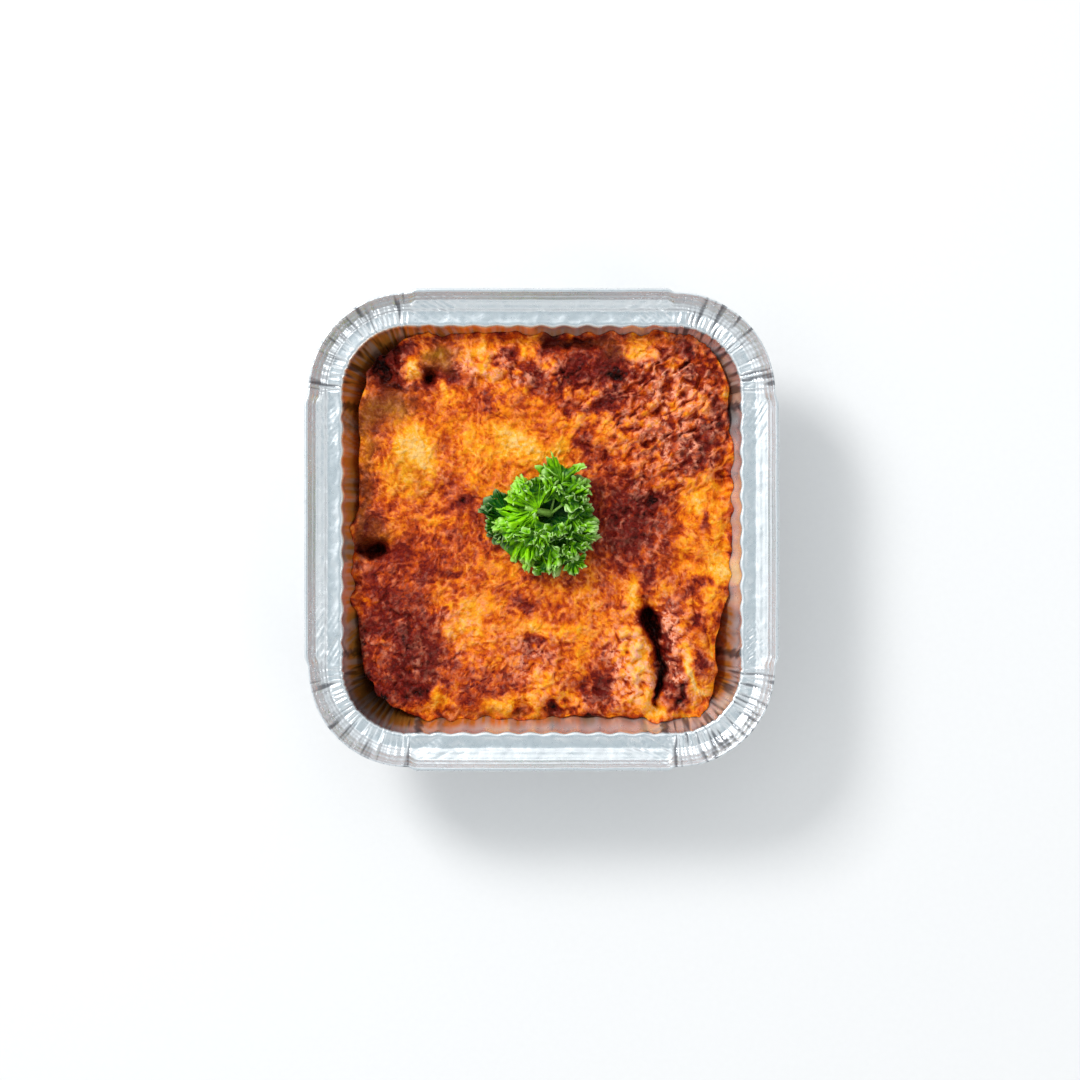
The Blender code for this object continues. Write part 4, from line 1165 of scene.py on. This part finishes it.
def build_bake(settings, tray_settings):
    """The bake: a square sheet of heights whose points beyond the core rectangle keep their
    larger distance from it, measured along the line through it. Its rim meets the fluted
    wall, and its side follows the wall down to a flat underside."""
    steps = 300
    ticks = np.linspace(-1.0, 1.0, steps + 1)
    radius = OPENING_RADIUS + wall_offset(LEVEL)
    across, along = np.meshgrid(ticks, ticks, indexing="xy")
    sheet = np.stack([across.ravel() * (CORE_X + radius), along.ravel() * (CORE_Y + radius)],
                     axis=1)
    half = np.array((CORE_X, CORE_Y))
    core = np.clip(sheet, -half, half)
    beyond = sheet - core
    normal = beyond / np.maximum(np.hypot(beyond[:, 0], beyond[:, 1]), 1e-12)[:, None]
    reach = np.abs(beyond).max(axis=1)

    # Where the food has bubbled, its edge climbs up the wall
    edge = core + normal * radius
    level = crust_level(edge[:, 0], edge[:, 1])
    back = edge_gap(edge[:, 0], edge[:, 1])
    back = back * (1.0 + 0.25 * lattice_noise(edge[:, 0], edge[:, 1], 5.0 * MM, 90))
    climb = 3.2 * MM * smooth_step(lattice_noise(edge[:, 0], edge[:, 1], 7.0 * MM, 92), -0.5, 0.7)
    climb = climb + 0.6 * MM * lattice_noise(edge[:, 0], edge[:, 1], 2.2 * MM, 91)
    climb = np.maximum(climb, 0.0) * (1.0 - smooth_step(back, 0.2 * MM, 0.9 * MM))
    # The rim's height sets its place on the leaning wall, and its place sets its height
    for _ in range(2):
        top = np.minimum(level + climb, WALL_TOP_Z - 0.3 * MM)
        rim = OPENING_RADIUS + wall_offset(top) - GAP - back
        trial = core + normal * rim[:, None]
        level = crust_level(trial[:, 0], trial[:, 1])
    ripple = wall_ripple(core, normal, top, tray_settings) * (reach > 0.0)
    ripple = ripple * (1.0 - smooth_step(back, 0.4 * MM, 1.2 * MM))
    pull = smooth_step(reach / radius, 0.8, 1.0)
    place = core + normal * (reach * rim / radius + ripple * pull)[:, None]
    x, y = place[:, 0], place[:, 1]
    detail = crust_detail(x, y, settings)
    # Relief fades at the rim, and the rim's own points stay up to its full height
    inset = radius - reach
    ease = 0.4 + 0.6 * smooth_step(inset, 0.0, 1.5 * MM)
    on_wall = 1.0 - smooth_step(inset, 0.0, 3.0 * MM)
    level = (crust_level(x, y) + (detail["coarse"] + detail["fine"]) * ease
             + climb * on_wall)
    level = np.where(inset < 0.1 * MM, np.maximum(level, top), level)
    toast, crisp_highlight, sauce = crust_toast(x, y, detail, settings)
    baked_on = lattice_noise(x, y, 3.5 * MM, 93) + 0.25
    toast = np.clip(toast + 0.3 * on_wall * baked_on, 0.0, 1.0)

    crust_faces, loop = split_sheet(steps)
    # The side goes from the rim down to the wall's foot and on to the flat underside
    clearance = GAP + tray_settings.flute_depth
    foot_z = WALL_FOOT_Z + GAP
    foot = core[loop] + normal[loop] * (OPENING_RADIUS + wall_offset(foot_z) - clearance)
    base = core[loop] + normal[loop] * (OPENING_RADIUS + FLOOR_OFFSET - clearance)
    count = len(loop)
    points = np.concatenate([
        np.stack([x, y, level], 1),
        np.concatenate([foot, np.full((count, 1), foot_z)], 1),
        np.concatenate([base, np.full((count, 1), FOIL + GAP)], 1),
        [(0.0, 0.0, FOIL + GAP)],
    ])
    step = np.arange(count)
    onward = (step + 1) % count
    first_foot = len(x)
    first_base = first_foot + count
    centre = first_base + count
    sides = []
    for upper, lower in ((loop, first_foot + step), (first_foot + step, first_base + step)):
        sides.append(np.stack([upper, lower, lower[onward]], 1))
        sides.append(np.stack([upper, lower[onward], upper[onward]], 1))
    sides.append(np.stack([np.full(count, centre), first_base + onward, first_base + step], 1))
    faces = np.concatenate([crust_faces, *sides])
    below = np.full(2 * count + 1, TOAST_UNDER_CRUST)
    return make_piece("baked_dish", points, faces, crust_material(settings), "bake",
                      {"toast": np.concatenate([toast, below]),
                       "crisp_highlight": np.concatenate([crisp_highlight, 0.0 * below]),
                       "sauce": np.concatenate([sauce, 0.0 * below])})


def thin_sheets(grids, thickness):
    """Closed thin sheets from grids of points: each face of a sheet is the grid moved half
    a thickness along its normals, both split into triangles alike, and joined round."""
    points, faces, start = [], [], 0
    for grid in grids:
        rows, columns, _ = grid.shape
        normals = np.cross(np.gradient(grid, axis=0), np.gradient(grid, axis=1))
        normals /= np.maximum(np.linalg.norm(normals, axis=2, keepdims=True), 1e-12)
        shift = normals * thickness / 2.0
        points += [(grid + shift).reshape(-1, 3), (grid - shift).reshape(-1, 3)]
        under = rows * columns
        a, b, c, d, ring = grid_cells(start + np.arange(under).reshape(rows, columns))
        upper = np.concatenate([np.stack([a, d, c], 1), np.stack([a, c, b], 1)])
        onward = np.roll(ring, -1)
        rim = np.concatenate([np.stack([ring, onward, onward + under], 1),
                              np.stack([ring, onward + under, ring + under], 1)])
        faces += [upper, upper[:, ::-1] + under, rim]
        start += 2 * under
    return np.concatenate(points), np.concatenate(faces)


def frilled_fan(apex, direction, roll, radius, curl, teeth, cut, settings, draw):
    """One frilled leaf blade as a grid, with how far out each point lies, how near a cleft
    between teeth and how high on a fold, all from 0 to 1. Rays fan out from an apex; the rim
    is parted into lobes and cut like a comb into fine teeth, each the end of a pleat; the
    blade also waves in folds that deepen outwards, its rim curls, and noise crumples it."""
    tooth_columns = 7
    out = np.array((0.04, 0.18, 0.32, 0.45, 0.56, 0.66, 0.75, 0.83, 0.9, 0.95, 1.0))[:, None]
    turn = np.linspace(-1.0, 1.0, teeth * tooth_columns + 1)[None, :]
    side = np.cross(direction, (0.0, 0.0, 1.0))
    side /= max(np.linalg.norm(side), 1e-9)
    up = np.cross(side, direction)
    side, up = (side * math.cos(roll) + up * math.sin(roll),
                up * math.cos(roll) - side * math.sin(roll))
    seed = int(draw.integers(1000))
    phase = draw.uniform(0.0, FULL_TURN)
    flat = np.full_like(turn, 0.37)
    place = (turn + 1.0) * teeth / 2.0
    uneven = lattice_noise(place * 0.8 + phase, flat, 1.0, seed)
    cleft = 2.0 * np.abs(place - np.floor(place) - 0.5)
    lobes = max(3, round(teeth / 5.5))
    parted = np.abs(np.cos(0.5 * math.pi * lobes * (turn + 0.3 * uneven / lobes))) ** 6
    reach = (1.0 + 0.08 * uneven * out ** 2 - 0.55 * cut * cleft ** 1.3 * out ** 2.5
             - cut * parted * out ** 2)
    angle = turn * math.radians(92.0)
    wide = 2.3 * math.pi * turn + phase
    narrow = 0.26 * math.pi * teeth * turn - 1.7 * phase
    folds = np.sin(wide) + 0.7 * np.sin(narrow)
    pleat = -np.cos(FULL_TURN * place) * (1.0 + 0.4 * uneven)
    length = radius * (out * reach - 0.25 * settings.frill * folds ** 2 * out ** 2)
    # The blade sinks in its middle and rises again before its rim curls
    dish = -0.10 * np.sin(math.pi * out ** 0.8)
    lift = radius * (settings.frill * folds * out ** 1.5 + curl * out ** 5 + dish)
    lift = lift + settings.pleat_height * pleat * smooth_step(out, 0.3, 0.95)
    sway = radius * 0.8 * settings.frill * out ** 2 * (np.cos(wide) + 0.8 * np.cos(narrow))
    forward = (length * np.cos(angle) - sway * np.sin(angle))[..., None] * direction
    sideways = (length * np.sin(angle) + sway * np.cos(angle))[..., None] * side
    grid = apex + forward + sideways + lift[..., None] * up
    x, y, z = grid[..., 0], grid[..., 1], grid[..., 2]
    crumple = np.stack([lattice_noise(y + z, x - z, 1.8 * MM, 301),
                        lattice_noise(x + z, y + 0.5 * z, 1.8 * MM, 302),
                        lattice_noise(x - z, y - z, 1.4 * MM, 303)], axis=-1)
    grid = grid + 0.7 * MM * crumple * out[..., None]
    crest = np.clip(0.5 + (0.6 * folds + 0.5 * pleat) / 2.2, 0.0, 1.0) + 0.0 * out
    return grid, out + 0.0 * turn, cleft + 0.0 * out, crest


def leaf_material(settings):
    """Curly parsley leaf: thin and waxy, with painted shade, dark green, between the folds,
    painted light on their crests, and painted highlights, paler, along its cut edges."""
    material, tree, shader = start_material("curly_parsley_leaf")
    place = object_place(tree)
    veins = add_node(tree, "ShaderNodeTexNoise", {
        "Vector": place, "Scale": 1.0 / (1.1 * MM), "Detail": 4.0, "Roughness": 0.6})
    shift = move_range(tree, veins.outputs["Fac"], 0.3, 0.7, -0.2, 0.2)
    youth = add_node(tree, "ShaderNodeMath", {0: point_value(tree, "young_and_lit"), 1: shift},
                     operation="ADD", use_clamp=True)
    green = mix_colours(tree, youth.outputs[0], settings.mature_and_shaded, settings.young_and_lit)
    colour = mix_colours(tree, point_value(tree, "rim"), green, settings.edge)
    tree.links.new(colour, shader.inputs["Base Color"])
    bump = add_node(tree, "ShaderNodeBump", {
        "Height": veins.outputs["Fac"], "Distance": 0.10 * MM, "Strength": 0.5})
    tree.links.new(bump.outputs["Normal"], shader.inputs["Normal"])
    shader.inputs["Roughness"].default_value = 0.36
    shader.inputs["Specular IOR Level"].default_value = 0.16
    return material


def stalk_material(settings):
    """Parsley stalk: pale green, ribbed along its length and slightly waxy."""
    material, tree, shader = start_material("parsley_stalk")
    streaks = add_node(tree, "ShaderNodeTexNoise", {
        "Vector": object_place(tree), "Scale": 1.0 / (0.8 * MM), "Detail": 3.0})
    dark = [0.55 * part for part in settings.stalk]
    colour = colour_ramp(tree, streaks.outputs["Fac"], ((0.3, dark), (0.7, settings.stalk)))
    tree.links.new(colour, shader.inputs["Base Color"])
    bump = add_node(tree, "ShaderNodeBump", {
        "Height": streaks.outputs["Fac"], "Distance": 0.08 * MM, "Strength": 0.5})
    tree.links.new(bump.outputs["Normal"], shader.inputs["Normal"])
    shader.inputs["Roughness"].default_value = 0.38
    return material


def keep_over_crust(points, clearance, ceiling):
    """Raise points that would meet the crust to a clearance over it, and press those that
    would stand over a ceiling down to it."""
    floor = crust_level(points[..., 0], points[..., 1]) + clearance
    height = np.clip(points[..., 2], floor, ceiling)
    return np.concatenate([points[..., :2], height[..., None]], axis=-1)


def crust_height_at(x, y):
    """The crust's level at one place."""
    return float(crust_level(np.array([x]), np.array([y]))[0])


def build_leaves(settings):
    """The leaves: frilled blades placed one by one, the large ones low and fanning outwards
    from the sprig's heart, the smaller ones steeper and above them."""
    draw = np.random.default_rng(7)
    ceiling = SPRIG_HIGH[2] - settings.leaf_thickness
    grids, young_and_lit, rim = [], [], []
    for x, y, height, around, rise, radius, curl, tint, teeth, cut in BLADES:
        azimuth, rise = math.radians(around), math.radians(rise)
        direction = np.array((math.cos(azimuth) * math.cos(rise),
                              math.sin(azimuth) * math.cos(rise), math.sin(rise)))
        apex = np.array((x, y, 0.0)) * MM
        apex[2] = crust_height_at(apex[0], apex[1]) + height * MM
        grid, out, cleft, crest = frilled_fan(
            apex, direction, draw.uniform(-0.3, 0.3), radius * MM, curl, teeth, cut, settings,
            draw)
        grids.append(keep_over_crust(grid, 0.45 * MM, ceiling))
        tone = tint + draw.uniform(-0.1, 0.1)
        # Painted shade and light: a blade is dark in a ring round its heart and between its
        # folds, lighter on the crests of its folds, and paler outwards
        ring = np.exp(-((out - 0.38) / 0.18) ** 2)
        shade = tone * (1.0 - 0.7 * ring) * (0.16 + 1.5 * crest)
        shade = np.clip(shade * (0.6 + 0.6 * out), 0.0, 1.0).ravel()
        # Painted highlight: its rim is pale at the teeth, more on the crests of the folds, but
        # less so on dark blades and on the youngest
        edge_highlight_share = min(1.0, 0.55 + 1.5 * max(tint, 0.0)) / max(1.0, tint + 0.6)
        edge = smooth_step(out, 0.84, 1.0) * (1.0 - 0.7 * smooth_step(cleft, 0.3, 0.9))
        edge = (edge * crest ** 0.5 * edge_highlight_share * draw.uniform(0.6, 1.1)).ravel()
        young_and_lit += [shade, shade]
        rim += [edge, edge]
    points, faces = thin_sheets(grids, settings.leaf_thickness)
    return make_piece("parsley_leaves", points, faces, leaf_material(settings),
                      "parsley_sprig",
                      {"young_and_lit": np.concatenate(young_and_lit), "rim": np.concatenate(rim)})


def build_stalks(settings):
    """The stalks: round rods of slowly changing radius along parabolas from the sprig's
    heart to places under the blades, closed by a point at both ends."""
    sides, steps = 10, 12
    heart = np.array((SPRIG_PLACE[0] * MM, SPRIG_PLACE[1] * MM, 0.0))
    heart[2] = crust_height_at(heart[0], heart[1]) + 1.6 * MM
    around = np.arange(sides) * FULL_TURN / sides
    points, faces, start = [], [], 0
    for x, y, height, radius in STALKS:
        end = np.array((x, y, 0.0)) * MM
        end[2] = crust_height_at(end[0], end[1]) + height * MM
        share = np.linspace(0.0, 1.0, steps)[:, None]
        line = heart + (end - heart) * share
        line[:, 2] += 1.2 * MM * (4.0 * share * (1.0 - share))[:, 0]
        run = np.gradient(line, axis=0)
        run /= np.linalg.norm(run, axis=1, keepdims=True)
        side = np.cross(run, (0.0, 0.0, 1.0))
        side /= np.maximum(np.linalg.norm(side, axis=1, keepdims=True), 1e-9)
        up = np.cross(side, run)
        thick = radius * MM * (1.15 - 0.5 * share)
        ring = (line[:, None, :]
                + thick[:, :, None] * (np.cos(around)[None, :, None] * side[:, None, :]
                                       + np.sin(around)[None, :, None] * up[:, None, :]))
        points += [ring.reshape(-1, 3), line[:1], line[-1:]]
        step, turn = np.meshgrid(np.arange(steps - 1), np.arange(sides), indexing="ij")
        onward = (turn + 1) % sides
        a = (start + step * sides + turn).ravel()
        b = (start + step * sides + onward).ravel()
        c = b + sides
        d = a + sides
        tail = start + steps * sides
        first = start + np.arange(sides)
        last = first + (steps - 1) * sides
        faces += [
            np.stack([a, d, c], 1),
            np.stack([a, c, b], 1),
            np.stack([np.full(sides, tail), first, np.roll(first, -1)], 1),
            np.stack([np.full(sides, tail + 1), np.roll(last, -1), last], 1),
        ]
        start = tail + 2
    points = keep_over_crust(np.concatenate(points), 0.3 * MM, SPRIG_HIGH[2])
    return make_piece("parsley_stalks", points, np.concatenate(faces),
                      stalk_material(settings), "parsley_sprig")


def build_floor(settings):
    """A plain pale floor."""
    corners = np.array([(-1, -1), (1, -1), (1, 1), (-1, 1)]) * 0.9
    mesh = bpy.data.meshes.new("floor")
    mesh.from_pydata([(x, y, 0.0) for x, y in corners], [], [(0, 1, 2, 3)])
    floor = bpy.data.objects.new("floor", mesh)
    bpy.context.scene.collection.objects.link(floor)
    material, tree, shader = start_material("matt_white_paper")
    grain = add_node(tree, "ShaderNodeTexNoise", {"Scale": 900.0, "Detail": 2.0})
    dim = [0.97 * part for part in settings.floor]
    paper = colour_ramp(tree, grain.outputs["Fac"], ((0.0, dim), (1.0, settings.floor)))
    tree.links.new(paper, shader.inputs["Base Color"])
    shader.inputs["Roughness"].default_value = 0.8
    mesh.materials.append(material)


def build_room(settings):
    """A white room: soft grey-blue straight above, brighter round it, dim at the horizon,
    and brighter towards the key light."""
    world = bpy.data.worlds.new("white_room")
    world.use_nodes = True
    tree = world.node_tree
    towards = add_node(tree, "ShaderNodeTexCoord").outputs["Generated"]
    parts = add_node(tree, "ShaderNodeSeparateXYZ", {"Vector": towards})
    dome = colour_ramp(tree, parts.outputs["Z"], (
        (0.0, (0.55, 0.56, 0.58)),
        (0.35, (0.62, 0.63, 0.65)),
        (0.62, (0.86, 0.88, 0.90)),
        (0.86, (1.08, 1.1, 1.1)),
        (0.93, (0.56, 0.63, 0.67)),
        (1.0, (0.42, 0.52, 0.57)),
    ))
    lean = add_node(tree, "ShaderNodeVectorMath", {0: towards, 1: (-0.28, 0.28, 0.0)},
                    operation="DOT_PRODUCT")
    strength = add_node(tree, "ShaderNodeMath",
                        {0: lean.outputs["Value"], 1: settings.room, 2: settings.room},
                        operation="MULTIPLY_ADD")
    background = tree.nodes["Background"]
    tree.links.new(dome, background.inputs["Color"])
    tree.links.new(strength.outputs[0], background.inputs["Strength"])
    bpy.context.scene.world = world
    bpy.context.scene.view_settings.view_transform = "Standard"


def build_lights(settings):
    """Two softboxes: the key light at the upper left and a fill light across from it."""
    softboxes = (
        ("key_softbox", (-0.62, 0.62, 0.80), (0.32, 0.32), settings.key),
        ("fill_softbox", (0.6, -0.5, 0.8), (0.5, 0.5), settings.fill),
    )
    for name, place, size, power in softboxes:
        light = bpy.data.lights.new(name, "AREA")
        light.shape = "RECTANGLE"
        light.size, light.size_y = size
        light.energy = power
        lamp = bpy.data.objects.new(name, light)
        lamp.location = place
        lamp.rotation_mode = "QUATERNION"
        lamp.rotation_quaternion = Vector(place).to_track_quat("Z", "Y")
        bpy.context.scene.collection.objects.link(lamp)


def build_camera():
    """The camera straight above. The photograph's frame is 345.6 mm wide at the height of
    the rim."""
    frame_width = 345.6 * MM
    distance = 0.65
    camera = bpy.data.cameras.new("camera")
    camera.sensor_width = 36.0
    camera.lens = camera.sensor_width * distance / frame_width
    camera.clip_start, camera.clip_end = 0.01, 10.0
    viewer = bpy.data.objects.new("camera", camera)
    viewer.location = (-0.56 * MM, -3.28 * MM, HEM_TOP_Z + distance)
    bpy.context.scene.collection.objects.link(viewer)
    bpy.context.scene.camera = viewer


class FOILMEAL_OT_stage(bpy.types.Operator):
    """Build the floor, the lights and the camera"""
    bl_idname = "foilmeal.stage"
    bl_label = "Stage"

    def execute(self, context):
        studio = context.scene.foil_meal_studio
        build_floor(studio)
        build_room(studio)
        build_lights(studio)
        build_camera()
        return {"FINISHED"}


class FOILMEAL_OT_tray(bpy.types.Operator):
    """Build the foil tray with its flutes, pleats and hem"""
    bl_idname = "foilmeal.tray"
    bl_label = "Foil Tray"

    def execute(self, context):
        build_tray(context.scene.foil_meal_tray)
        return {"FINISHED"}


class FOILMEAL_OT_bake(bpy.types.Operator):
    """Build the baked dish with its browned crust"""
    bl_idname = "foilmeal.bake"
    bl_label = "Baked Dish"

    def execute(self, context):
        build_bake(context.scene.foil_meal_crust, context.scene.foil_meal_tray)
        return {"FINISHED"}


class FOILMEAL_OT_parsley(bpy.types.Operator):
    """Build the parsley leaves and their stalks"""
    bl_idname = "foilmeal.parsley"
    bl_label = "Parsley"

    def execute(self, context):
        build_leaves(context.scene.foil_meal_parsley)
        build_stalks(context.scene.foil_meal_parsley)
        return {"FINISHED"}


class FOILMEAL_PT_panel(bpy.types.Panel):
    """Buttons that build the meal, and its sizes and colours"""
    bl_idname = "FOILMEAL_PT_panel"
    bl_label = "Foil Tray Meal"
    bl_space_type = "VIEW_3D"
    bl_region_type = "UI"
    bl_category = "Foil Meal"

    def draw(self, context):
        scene = context.scene
        for operator, settings in (
                ("foilmeal.stage", scene.foil_meal_studio),
                ("foilmeal.tray", scene.foil_meal_tray),
                ("foilmeal.bake", scene.foil_meal_crust),
                ("foilmeal.parsley", scene.foil_meal_parsley)):
            box = self.layout.box()
            box.operator(operator)
            for name in settings.__annotations__:
                box.prop(settings, name)


CLASSES = (
    FoilTraySettings, CrustSettings, ParsleySettings, StudioSettings,
    FOILMEAL_OT_stage, FOILMEAL_OT_tray, FOILMEAL_OT_bake, FOILMEAL_OT_parsley,
    FOILMEAL_PT_panel,
)
SETTINGS = {
    "foil_meal_tray": FoilTraySettings,
    "foil_meal_crust": CrustSettings,
    "foil_meal_parsley": ParsleySettings,
    "foil_meal_studio": StudioSettings,
}


def register():
    for item in CLASSES:
        bpy.utils.register_class(item)
    for name, group in SETTINGS.items():
        setattr(bpy.types.Scene, name, bpy.props.PointerProperty(type=group))


def unregister():
    for name in SETTINGS:
        delattr(bpy.types.Scene, name)
    for item in reversed(CLASSES):
        bpy.utils.unregister_class(item)


def main():
    register()
    bpy.ops.foilmeal.stage()
    bpy.ops.foilmeal.tray()
    bpy.ops.foilmeal.bake()
    bpy.ops.foilmeal.parsley()


if __name__ == "__main__":
    main()
